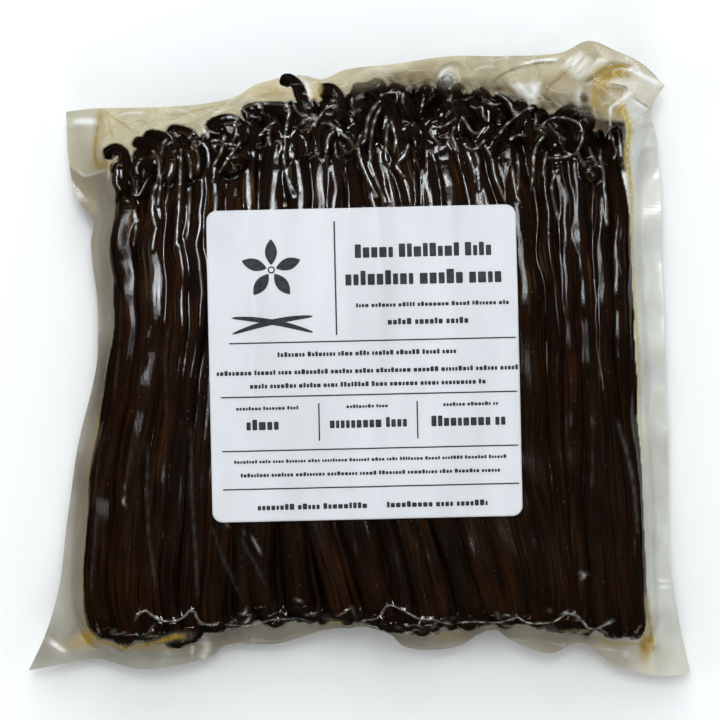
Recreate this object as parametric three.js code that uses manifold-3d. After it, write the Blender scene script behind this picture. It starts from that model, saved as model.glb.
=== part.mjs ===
// A vacuum pack of vanilla pods, lying flat.
// About two hundred and fifty long, thin pods lie side by side in a clear bag that the air has been
// drawn out of, so the film hugs every pod. The stem ends, some of them curled into hooks, are at
// the top of the pack (+Y) and the blunt ends at the bottom (-Y). A square label lies on the pods.
//
// Two bodies, in millimetres, +Z up, origin under the middle of the pack on the surface it lies on:
//   sealed_bag  the bundle with its outer pods, and the sealed margin of film that runs round it
//   label       the square label on top

import * as THREE from 'three';
import { mergeVertices } from 'three/addons/utils/BufferGeometryUtils.js';
import Module from 'manifold-3d';

const wasm = await Module();
wasm.setup();

// ---------------------------------------------------------------------------------- sizes

// Bundle of pods
const MID_HEIGHT = 17.6;        // height of the bundle's middle plane
const HALF_DEPTH = 15.8;        // from there to the centre line of a pod on top
const SQUARENESS = 4.4;         // superellipse power of the cross-section: flat, with round sides
const ROUND_PODS = 56;          // pods round the outside of the bundle
const POD_WIDTH = 6.9;
const POD_DEPTH = 4.5;
const POD_SIDES = 6;
const SKIN_STATIONS = 5;        // stations along the straight part of the outer pods
const VALLEY_DEPTH = 0.8;       // of the valley between two outer pods, below their centre lines
const POD_DIP = 0.9;            // most that a pod lies below its neighbours
const PRESSED = 1.1;            // how far the pods underneath are pressed flat
const POD_WANDER = 0.8;         // sideways wave of a pod
const LEAN = 9;                 // sideways shift at the blunt ends of the pods under the label
const LEAN_FROM = -18;          // y where that lean begins
const BLUNT_TAPER = 13;         // length over which a blunt end narrows
const STEM_TAPER = 52;          // length over which a stem end narrows
const STEM_SCALE = 0.56;        // size of a stem end, of the full section
const END_SCATTER = 3.4;        // how unevenly the ends line up
const HOOK_RADIUS = 4.2;        // curl of a stem end
const HOOK_STEPS = 4;

// Ends of the pods inside the bundle, row by row; levels are shares of HALF_DEPTH
const BLUNT_LEVELS = [-0.5, 0, 0.5];
const BLUNT_ENDS = 15;          // across one row
const STEM_LEVELS = [-0.45, 0.1];
const STEM_ENDS = 13;
const CURLED_LEVELS = [0.5, 0.95];
const CURLED_STEMS = 9;
const STUB_LENGTH = 15;
const END_RECESS = 6;           // how far the skin turns in under the tips of the outer pods
const SLIVER = 0.1;             // faces and edges finer than this are smoothed away

// Outline of the bundle, as pairs of a place along one axis and the edge on the other
const LEFT_EDGE = [[-94, -87], [-78, -89.5], [-45, -88], [-8, -82.5], [45, -80], [70, -77]];
const RIGHT_EDGE = [[-94, 92.5], [-50, 91], [-10, 89], [45, 86.5], [72, 83], [88, 79]];
const BLUNT_EDGE = [[-89, -90.5], [-60, -92.5], [-37, -85], [-8, -85], [18, -88], [44, -86], [92, -91]];
const STEM_EDGE = [[-82, 67], [-50, 76], [-22, 84], [12, 88.5], [40, 88], [64, 84], [86, 73]];

// Film
const FILM = 0.8;               // thickness of the sealed margin
const SEAL_HEIGHT = 14;       // height of the margin where it leaves the bundle
const MARGIN_DROOP = 3.4;       // how far its free edge hangs lower
const MARGIN_WAVE = 1.5;        // ruffles of the free edge
const MARGIN_SAMPLES = 90;
const MARGIN_STEPS = [0, 0.76, 0.88, 1];
const CORNER_FOLD = { x: 94, y: 94, reach: 30, lift: 8.5 };
const CORNER_FLARE = { x: -95, y: 79, reach: 24, lift: 3 };

// Free edge of the film, anticlockwise, one run for each side from its first corner
const FREE_EDGE = {
  bottom: [
    [-107.3, -101.2], [-96, -99.2], [-86.5, -97.6], [-72, -100.2], [-61, -99.4], [-48.5, -96.6],
    [-43, -93], [-27, -92.6], [-10, -87.6], [5, -87], [10, -88.8], [15, -93.2], [33, -92.8],
    [39, -89], [44, -87.8], [49, -91.2], [62, -95.2], [72, -92.6], [83, -99.4], [100, -103],
  ],
  right: [
    [107.2, -101.4], [103.6, -84], [100.8, -65], [100.3, -30], [98.4, 30], [96.8, 70], [94.6, 81],
  ],
  top: [
    [98.8, 88.2], [91.5, 95], [83, 99.4], [74.4, 103.2], [66, 99.6], [48, 98.2], [29, 98],
    [10, 95.2], [-5, 93.4], [-12, 90.2], [-19, 91.6], [-28, 89.6], [-39, 84.8], [-50, 82.3],
    [-66, 81], [-86, 81],
  ],
  left: [
    [-95.4, 80], [-94, 64], [-90.6, 51], [-86.4, 45.4], [-87.2, 37], [-85.4, 18], [-85.4, -1],
    [-91, -26], [-94.6, -48], [-97.6, -74], [-102.2, -90],
  ],
};

// Label
const LABEL = {
  x: 1.5, y: -1.7, width: 99, length: 99.6, turn: 1.3, corner: 3.4,
  thickness: 0.35, gap: 0.35, ripple: 0.22,
};
const LABEL_STEPS = 7;

// ---------------------------------------------------------------------------------- helpers

/** Repeatable draw between 0 and 1, the same for the same pod and the same purpose. */
function draw(pod, purpose) {
  const value = Math.sin(pod * 12.9898 + purpose * 78.233) * 43758.5453;
  return value - Math.floor(value);
}

const spread = (pod, purpose) => 2 * draw(pod, purpose) - 1;

/** Smooth rise from 0 at the first place to 1 at the second. */
function rise(from, to, place) {
  const t = THREE.MathUtils.clamp((place - from) / (to - from), 0, 1);
  return t * t * (3 - 2 * t);
}

/** Value at a place, read from pairs of place and value, with eased steps between them. */
function along(pairs, place) {
  if (place <= pairs[0][0]) return pairs[0][1];
  for (let i = 1; i < pairs.length; i++) {
    const [a, before] = pairs[i - 1];
    const [b, after] = pairs[i];
    if (place <= b) return before + (after - before) * rise(a, b, place);
  }
  return pairs[pairs.length - 1][1];
}

/** Closed triangle mesh as a solid for joining and cutting. */
function solid(geometry) {
  geometry.deleteAttribute('normal');
  geometry.deleteAttribute('uv');
  const merged = mergeVertices(geometry, 1e-4);
  return new wasm.Manifold(new wasm.Mesh({
    numProp: 3,
    vertProperties: new Float32Array(merged.attributes.position.array),
    triVerts: new Uint32Array(merged.index.array),
  }));
}

function geometryOf(manifold) {
  const { vertProperties, triVerts } = manifold.getMesh();
  const geometry = new THREE.BufferGeometry();
  geometry.setAttribute('position', new THREE.BufferAttribute(new Float32Array(vertProperties), 3));
  geometry.setIndex(new THREE.BufferAttribute(new Uint32Array(triVerts), 1));
  geometry.computeVertexNormals();
  return geometry;
}

function indexed(points, faces) {
  const geometry = new THREE.BufferGeometry();
  geometry.setAttribute('position', new THREE.Float32BufferAttribute(points.flat(), 3));
  geometry.setIndex(faces.flat());
  return geometry;
}

/** Faces that join rings of the same number of points into a tube; point 0 starts at `start`. */
function tubeFaces(rings, sides, start) {
  const faces = [];
  const at = (ring, side) => start + ring * sides + (side % sides);
  for (let s = 0; s < sides; s++) {
    for (let r = 0; r + 1 < rings; r++) {
      faces.push([at(r, s), at(r + 1, s + 1), at(r, s + 1)], [at(r, s), at(r + 1, s), at(r + 1, s + 1)]);
    }
  }
  return faces;
}

// ---------------------------------------------------------------------------------- bundle

/** Share of the full depth that the bundle has at y: it thins towards the stems. */
const fullness = (y) => 1 - 0.34 * rise(8, 92, y) - 0.1 * rise(-62, -96, y);

const sideways = (y) => {
  const left = along(LEFT_EDGE, y) + POD_DEPTH / 2;
  const right = along(RIGHT_EDGE, y) - POD_DEPTH / 2;
  return { middle: (left + right) / 2, half: (right - left) / 2 };
};

/** Half depth of the cross-section at a share of its half width, of 1. */
const profile = (share) => (
  (1 - Math.min(1, Math.abs(share)) ** SQUARENESS) ** (1 / SQUARENESS)
);

/** Even spacing round the cross-section: the place of each pod as shares of half width and depth. */
function roundPlaces(count) {
  const fine = 1440;
  const { half } = sideways(0);
  const power = 2 / SQUARENESS;
  const curve = [];
  for (let i = 0; i <= fine; i++) {
    const angle = (i / fine) * 2 * Math.PI;
    curve.push(new THREE.Vector2(
      Math.sign(Math.cos(angle)) * Math.abs(Math.cos(angle)) ** power,
      Math.sign(Math.sin(angle)) * Math.abs(Math.sin(angle)) ** power,
    ));
  }
  const lengths = [0];
  for (let i = 1; i <= fine; i++) {
    const across = (curve[i].x - curve[i - 1].x) * half;
    const over = (curve[i].y - curve[i - 1].y) * HALF_DEPTH;
    lengths.push(lengths[i - 1] + Math.hypot(across, over));
  }
  const places = [];
  for (let pod = 0, i = 0; pod < count; pod++) {
    const target = ((pod + 0.5) / count) * lengths[fine];
    while (lengths[i + 1] < target) i++;
    places.push(curve[i].clone().lerp(curve[i + 1], (target - lengths[i]) / (lengths[i + 1] - lengths[i])));
  }
  return places;
}

/** Sideways shift of the pods under the label, which fan out towards their blunt ends. */
const lean = (share, y) => (
  LEAN * rise(LEAN_FROM, -88, y) * rise(-0.42, -0.15, share) * (1 - rise(0.45, 0.8, share))
);

/** Section scale of a pod at a distance from its blunt tip and from its stem tip. */
function girth(fromBlunt, fromStem) {
  const blunt = Math.min(1, Math.max(0, fromBlunt) / BLUNT_TAPER);
  const stem = Math.min(1, Math.max(0, fromStem) / STEM_TAPER);
  const bluntScale = 0.4 + 0.6 * Math.sqrt(blunt * (2 - blunt));
  return bluntScale * (STEM_SCALE + (1 - STEM_SCALE) * stem * (2 - stem));
}

/** One pod on the outside of the bundle: its ends, and its section wherever it is asked for. */
function outerPod(place, pod) {
  const size = 0.93 + 0.11 * draw(pod, 1);
  const dip = POD_DIP * draw(pod, 2);
  const phase = 2 * Math.PI * draw(pod, 3);
  const centre = (y) => {
    const { middle, half } = sideways(y);
    const x = middle + place.x * half + lean(place.x, y) + POD_WANDER * Math.sin(y / 21 + phase);
    const depth = (HALF_DEPTH + (place.y < 0 ? PRESSED - dip / 2 : -dip)) * fullness(y);
    const onFlat = Math.abs(place.y) > 0.8;
    const height = onFlat ? Math.sign(place.y) * profile((x - middle) / half) : place.y;
    return new THREE.Vector3(x, y, MID_HEIGHT + depth * height);
  };
  const out = new THREE.Vector3(
    Math.sign(place.x) * Math.abs(place.x) ** (SQUARENESS - 1) / sideways(0).half,
    0,
    Math.sign(place.y) * Math.abs(place.y) ** (SQUARENESS - 1) / HALF_DEPTH,
  ).normalize();
  const first = along(BLUNT_EDGE, centre(-88).x) + END_SCATTER * (draw(pod, 4) - 0.1);
  const last = along(STEM_EDGE, centre(80).x) - END_SCATTER * draw(pod, 5);
  return { centre, out, size, first, last };
}

/**
 * Skin of the bundle: every outer pod is a ridge of three flats with its own ends, and the skin
 * dips to a valley between it and the next. At both ends it turns in under the tips of the pods
 * and closes from the upper half to the lower half.
 */
function bundle() {
  const pods = roundPlaces(ROUND_PODS).map(outerPod);
  const columns = 3 * pods.length;
  const stations = [0, 0.014, 0.05];
  for (let i = 1; i < SKIN_STATIONS; i++) stations.push(0.05 + 0.88 * (i / SKIN_STATIONS));
  stations.push(0.93, 0.985, 1);

  const ridge = (pod, t) => {
    const y = THREE.MathUtils.lerp(pod.first, pod.last, t);
    const tip = t === 0 || t === 1 ? 0.6 : 1;
    const scale = pod.size * girth(y - pod.first, pod.last - y) * tip;
    const across = new THREE.Vector3(-pod.out.z, 0, pod.out.x);
    return [-0.27, 0.27].map((side) => pod.centre(y)
      .addScaledVector(across, side * POD_WIDTH * scale)
      .addScaledVector(pod.out, 0.433 * POD_DEPTH * scale));
  };
  const valley = (pod, next, t) => {
    const here = pod.centre(THREE.MathUtils.lerp(pod.first, pod.last, t));
    const there = next.centre(THREE.MathUtils.lerp(next.first, next.last, t));
    const out = pod.out.clone().add(next.out).normalize();
    return here.lerp(there, 0.5).addScaledVector(out, -VALLEY_DEPTH);
  };
  const ring = (t, place) => pods.flatMap((pod, i) => {
    const next = pods[(i + 1) % pods.length];
    return [...ridge(pod, t), valley(pod, next, t)].map(place);
  });
  const turnedIn = (inward) => (point) => [
    point.x * 0.97, point.y + inward * END_RECESS, MID_HEIGHT + (point.z - MID_HEIGHT) * 0.72,
  ];

  const rings = [
    ring(0, turnedIn(1)),
    ...stations.map((t) => ring(t, (point) => point.toArray())),
    ring(1, turnedIn(-1)),
  ];
  const faces = tubeFaces(rings.length, columns, 0);
  const last = (rings.length - 1) * columns;
  for (let upper = 0; upper < columns / 2; upper++) {
    const before = (upper + columns - 1) % columns;
    const lower = columns - 2 - upper;
    const lowerBefore = (lower + 1) % columns;
    faces.push([before, upper, lower], [last + before, last + lower, last + upper]);
    if (before === lowerBefore) continue;
    faces.push([before, lower, lowerBefore], [last + before, last + lowerBefore, last + lower]);
  }
  return solid(indexed(rings.flat(), faces));
}

/** A length of pod: rings of an oval section along its centre line, with a tip at each end. */
function podLength(stations) {
  const points = [];
  const count = stations.length;
  stations.forEach(({ at, scale, out }, i) => {
    if (i === 0 || i === count - 1) {
      points.push(at.toArray());
      return;
    }
    const forward = stations[i + 1].at.clone().sub(stations[i - 1].at).normalize();
    const across = new THREE.Vector3().crossVectors(forward, out).normalize();
    const outward = new THREE.Vector3().crossVectors(across, forward).normalize();
    for (let s = 0; s < POD_SIDES; s++) {
      const angle = ((s + 0.5) / POD_SIDES) * 2 * Math.PI;
      points.push(at.clone()
        .addScaledVector(across, Math.cos(angle) * scale * POD_WIDTH / 2)
        .addScaledVector(outward, Math.sin(angle) * scale * POD_DEPTH / 2)
        .toArray());
    }
  });
  const rings = count - 2;
  const faces = tubeFaces(rings, POD_SIDES, 1);
  const last = points.length - 1;
  for (let s = 0; s < POD_SIDES; s++) {
    const next = (s + 1) % POD_SIDES;
    faces.push([0, 1 + s, 1 + next], [last, last - POD_SIDES + next, last - POD_SIDES + s]);
  }
  return solid(indexed(points, faces));
}

/** End of a pod, which pokes out of the bundle by its own amount. */
function podEnd(share, level, blunt, pod) {
  const inward = blunt ? 1 : -1;
  const nearY = blunt ? -88 : 78;
  const { middle, half } = sideways(nearY);
  const x = middle + share * half * 0.97 + spread(pod, 11) + (blunt ? lean(share, nearY) : 0);
  const edge = along(blunt ? BLUNT_EDGE : STEM_EDGE, x);
  const tipY = edge + inward * END_SCATTER * (draw(pod, 12) * 1.3 - 0.3);
  const z = MID_HEIGHT + level * HALF_DEPTH * fullness(tipY) + 0.7 * spread(pod, 14);
  const size = (blunt ? 0.9 : 0.6) + 0.12 * spread(pod, 13);
  const out = new THREE.Vector3(0.5 * spread(pod, 15), 0, 1).normalize();
  const stations = [0, 1.1, 4.5, STUB_LENGTH - 0.5, STUB_LENGTH].map((inside, i) => ({
    at: new THREE.Vector3(x, tipY + inward * inside, z),
    scale: size * [0, 0.62, 1, 1, 0][i],
    out,
  }));
  return podLength(stations);
}

/** A stem that curls back on itself where it leaves the bundle. */
function curledStem(share, level, pod) {
  const { middle, half } = sideways(78);
  const x = middle + share * half + spread(pod, 21);
  const hand = draw(pod, 22) < 0.5 ? -1 : 1;
  const turn = THREE.MathUtils.lerp(1.4, 3, draw(pod, 23));
  const radius = HOOK_RADIUS * (0.8 + 0.4 * draw(pod, 24));
  const bendY = along(STEM_EDGE, x) - radius + END_SCATTER * (0.9 - draw(pod, 25));
  const z = MID_HEIGHT + level * HALF_DEPTH * fullness(bendY);
  const out = new THREE.Vector3(0, 0, 1);
  const root = new THREE.Vector3(x, bendY - STUB_LENGTH, z - 1);
  const stations = [
    { at: root, scale: 0, out },
    { at: root.clone().setY(root.y + 0.5), scale: 0.66, out },
  ];
  for (let i = 0; i <= HOOK_STEPS; i++) {
    const angle = (i / HOOK_STEPS) * turn;
    const at = new THREE.Vector3(
      x + hand * radius * (1 - Math.cos(angle)),
      bendY + radius * Math.sin(angle),
      z - 0.4 * i,
    );
    stations.push({ at, scale: 0.62 - 0.05 * i, out });
  }
  const [before, end] = stations.slice(-2);
  stations.push({ at: end.at.clone().sub(before.at).setLength(1.2).add(end.at), scale: 0, out });
  return podLength(stations);
}

// ---------------------------------------------------------------------------------- thin sheets

/**
 * Thin sheet inside a closed outline: rings of the outline shrunk towards its middle, on top and
 * underneath, joined round the edge.
 */
function sheet(outline, middle, steps, height, thickness) {
  const points = [];
  const faces = [];
  const count = outline.length;
  const rings = steps.length - 1;
  const layer = (offset) => {
    points.push([middle.x, middle.y, height(middle.x, middle.y, 0) + offset]);
    for (let r = 1; r <= rings; r++) {
      for (const edge of outline) {
        const x = THREE.MathUtils.lerp(middle.x, edge.x, steps[r]);
        const y = THREE.MathUtils.lerp(middle.y, edge.y, steps[r]);
        points.push([x, y, height(x, y, steps[r]) + offset]);
      }
    }
  };
  layer(0);
  layer(thickness);
  const half = 1 + rings * count;
  const at = (side, r, i) => side * half + 1 + (r - 1) * count + (i % count);
  for (let i = 0; i < count; i++) {
    faces.push([0, at(0, 1, i + 1), at(0, 1, i)], [half, at(1, 1, i), at(1, 1, i + 1)]);
    for (let r = 1; r < rings; r++) {
      faces.push([at(0, r, i), at(0, r, i + 1), at(0, r + 1, i + 1)]);
      faces.push([at(0, r, i), at(0, r + 1, i + 1), at(0, r + 1, i)]);
      faces.push([at(1, r, i), at(1, r + 1, i + 1), at(1, r, i + 1)]);
      faces.push([at(1, r, i), at(1, r + 1, i), at(1, r + 1, i + 1)]);
    }
    faces.push([at(0, rings, i), at(0, rings, i + 1), at(1, rings, i + 1)]);
    faces.push([at(0, rings, i), at(1, rings, i + 1), at(1, rings, i)]);
  }
  return indexed(points, faces);
}

/** Raise of the film round one corner, strongest at the corner itself. */
const cornerLift = (corner, x, y) => (
  corner.lift * (1 - rise(0, corner.reach, Math.hypot(x - corner.x, y - corner.y)))
);

function marginHeight(x, y, step) {
  const free = rise(0.8, 1, step);
  const around = Math.atan2(y, x);
  const wave = Math.sin(around * 17) + 0.6 * Math.sin(around * 29 + 1.3);
  return SEAL_HEIGHT - MARGIN_DROOP * free + MARGIN_WAVE * free * wave
    + cornerLift(CORNER_FOLD, x, y) + cornerLift(CORNER_FLARE, x, y);
}

function margin() {
  const corners = [...FREE_EDGE.bottom, ...FREE_EDGE.right, ...FREE_EDGE.top, ...FREE_EDGE.left];
  const curve = new THREE.CatmullRomCurve3(
    corners.map(([x, y]) => new THREE.Vector3(x, y, 0)), true, 'centripetal',
  );
  const outline = curve.getSpacedPoints(MARGIN_SAMPLES).slice(0, MARGIN_SAMPLES);
  return solid(sheet(outline, new THREE.Vector2(0, -2), MARGIN_STEPS, marginHeight, FILM));
}

/** Top of the pods at x and y, which the label lies on. */
function crown(x, y) {
  const { middle, half } = sideways(y);
  const share = (x - middle) / half;
  return MID_HEIGHT + HALF_DEPTH * fullness(y) * profile(share) + POD_DEPTH / 2;
}

function label() {
  const { width, length, corner, turn, thickness, gap, ripple } = LABEL;
  const shape = new THREE.Shape();
  const [w, l] = [width / 2, length / 2];
  shape.moveTo(w, -l + corner);
  shape.lineTo(w, l - corner);
  shape.absarc(w - corner, l - corner, corner, 0, Math.PI / 2);
  shape.lineTo(-w + corner, l);
  shape.absarc(-w + corner, l - corner, corner, Math.PI / 2, Math.PI);
  shape.lineTo(-w, -l + corner);
  shape.absarc(-w + corner, -l + corner, corner, Math.PI, 1.5 * Math.PI);
  shape.lineTo(w - corner, -l);
  shape.absarc(w - corner, -l + corner, corner, 1.5 * Math.PI, 2 * Math.PI);
  const middle = new THREE.Vector2(LABEL.x, LABEL.y);
  const outline = shape.getSpacedPoints(48).slice(0, 48).map((point) => (
    point.clone().rotateAround(new THREE.Vector2(), THREE.MathUtils.degToRad(turn)).add(middle)
  ));
  const steps = Array.from({ length: LABEL_STEPS + 1 }, (_, i) => i / LABEL_STEPS);
  const height = (x, y) => crown(x, y) + gap + ripple * (1 + Math.sin(x / 3.6 + y / 40));
  return sheet(outline, middle, steps, height, thickness);
}

// ---------------------------------------------------------------------------------- assembly

/** Places across one row of ends, each row set half a step aside from the last. */
function acrossRow(count, row) {
  const step = 1.84 / count;
  return Array.from({ length: count }, (_, i) => -0.92 + step * (i + 0.5 + 0.25 * (row % 2 ? 1 : -1)));
}

function sealedBag() {
  const pieces = [bundle(), margin()];
  BLUNT_LEVELS.forEach((level, row) => {
    acrossRow(BLUNT_ENDS, row).forEach((share, i) => {
      pieces.push(podEnd(share, level, true, 200 + row * 40 + i));
    });
  });
  STEM_LEVELS.forEach((level, row) => {
    acrossRow(STEM_ENDS, row).forEach((share, i) => {
      pieces.push(podEnd(share, level, false, 400 + row * 40 + i));
    });
  });
  CURLED_LEVELS.forEach((level, row) => {
    acrossRow(CURLED_STEMS, row).forEach((share, i) => {
      pieces.push(curledStem(share, level, 600 + row * 40 + i));
    });
  });
  const joined = wasm.Manifold.union(pieces);

  // The pack's own weight presses its underside flat.
  const below = new THREE.BoxGeometry(400, 400, 40);
  below.translate(0, 0, -20);
  const flat = joined.subtract(solid(below));

  // Hollows closed in between the pods are filled: only the outer skin is kept.
  const shells = solid(geometryOf(flat)).simplify(SLIVER).decompose();
  shells.sort((a, b) => b.volume() - a.volume());
  return geometryOf(shells[0]);
}

const pack = new THREE.Group();

const bag = new THREE.Mesh(sealedBag(), new THREE.MeshStandardMaterial({
  color: 0x2a1a12, roughness: 0.3, metalness: 0,
}));
bag.name = 'sealed_bag';
pack.add(bag);

const labelSheet = new THREE.Mesh(label(), new THREE.MeshStandardMaterial({
  color: 0xe6e8ee, roughness: 0.45, metalness: 0,
}));
labelSheet.name = 'label';
pack.add(labelSheet);

export default pack;
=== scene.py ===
"""A clear vacuum pack of vanilla pods with a square label, as a small Blender add-on.

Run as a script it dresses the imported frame: the loose pods, the film drawn tight over them, the
sealed margin with its vanilla oil stains, the label and its plain print, and a pale floor.
Shapes are worked out in millimetres and become metres when a mesh is made.
"""

import math

import bpy
import numpy as np
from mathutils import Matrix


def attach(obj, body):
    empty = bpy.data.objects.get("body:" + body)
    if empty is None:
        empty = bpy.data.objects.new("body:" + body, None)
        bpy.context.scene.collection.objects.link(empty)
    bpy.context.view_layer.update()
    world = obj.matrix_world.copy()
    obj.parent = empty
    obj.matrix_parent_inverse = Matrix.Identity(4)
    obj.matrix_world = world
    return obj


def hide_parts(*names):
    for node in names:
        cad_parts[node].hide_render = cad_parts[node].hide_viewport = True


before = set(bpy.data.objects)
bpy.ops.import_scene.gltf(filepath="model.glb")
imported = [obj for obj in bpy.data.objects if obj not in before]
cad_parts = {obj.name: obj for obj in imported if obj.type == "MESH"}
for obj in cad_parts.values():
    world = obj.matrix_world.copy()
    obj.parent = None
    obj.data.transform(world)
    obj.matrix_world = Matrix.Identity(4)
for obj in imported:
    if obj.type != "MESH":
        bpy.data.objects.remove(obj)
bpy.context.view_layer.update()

bl_info = {
    "name": "Vanilla Pod Vacuum Pack",
    "version": (1, 0, 0),
    "blender": (4, 5, 0),
    "location": "3D View > Sidebar > Vanilla Pack",
    "description": "Builds a clear vacuum pack of vanilla pods with its label",
    "category": "Object",
}

MM = 0.001
BODY = "root"
BAG_NODE = "sealed_bag"
LABEL_NODE = "label"

# Stands for no height at all, in a grid of heights.
NOTHING = -1e3

# Lift of the film over the pods and over the middle of the seal, and of the pack off the ground.
OVER_PODS, OVER_SEAL, OFF_GROUND = 0.1, 0.08, 0.06

# Lift of the label over the film, its thickness, and the height of the print over its underside.
OVER_FILM, PAPER_THICK, INK_HEIGHT = 0.35, 0.12, 0.21

# Faces across the label, and points that a side of the film's outline is read from.
LABEL_FACES, OUTLINE_POINTS = 150, 2000

# Width of the picture that the scale holds for, in pixels, and of the camera's sensor.
PICTURE, SENSOR = 720, 36

# Outline of the bundle of pods: places along one axis and the edge on the other.
LEFT_EDGE = ((-94, -87), (-78, -89.5), (-45, -88), (-8, -83), (13, -80), (24, -79.8), (36, -81.4),
             (46, -80), (70, -77))
RIGHT_EDGE = ((-94, 94), (-50, 92.6), (-10, 90.6), (45, 88.2), (72, 84.8), (88, 80))
BLUNT_EDGE = ((-89, -90.5), (-60, -92.5), (-37, -85), (-8, -85), (18, -88), (44, -86), (92, -91))
STEM_EDGE = ((-82, 65.6), (-58, 73), (-22, 83), (12, 88.5), (40, 86.5), (64, 82), (86, 71.5))

# Middle of the bundle, its half width, and the half width and place of its blunt and stem ends.
MIDDLE, HALF_WIDTH = 1.5, 86
BLUNT_HALF, BLUNT_Y = 88, -88
STEM_HALF, STEM_Y = 82, 80

# Share by which a pod is wider than its place, so that neighbours press into each other.
PRESSED_WIDER = 1.13

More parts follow.
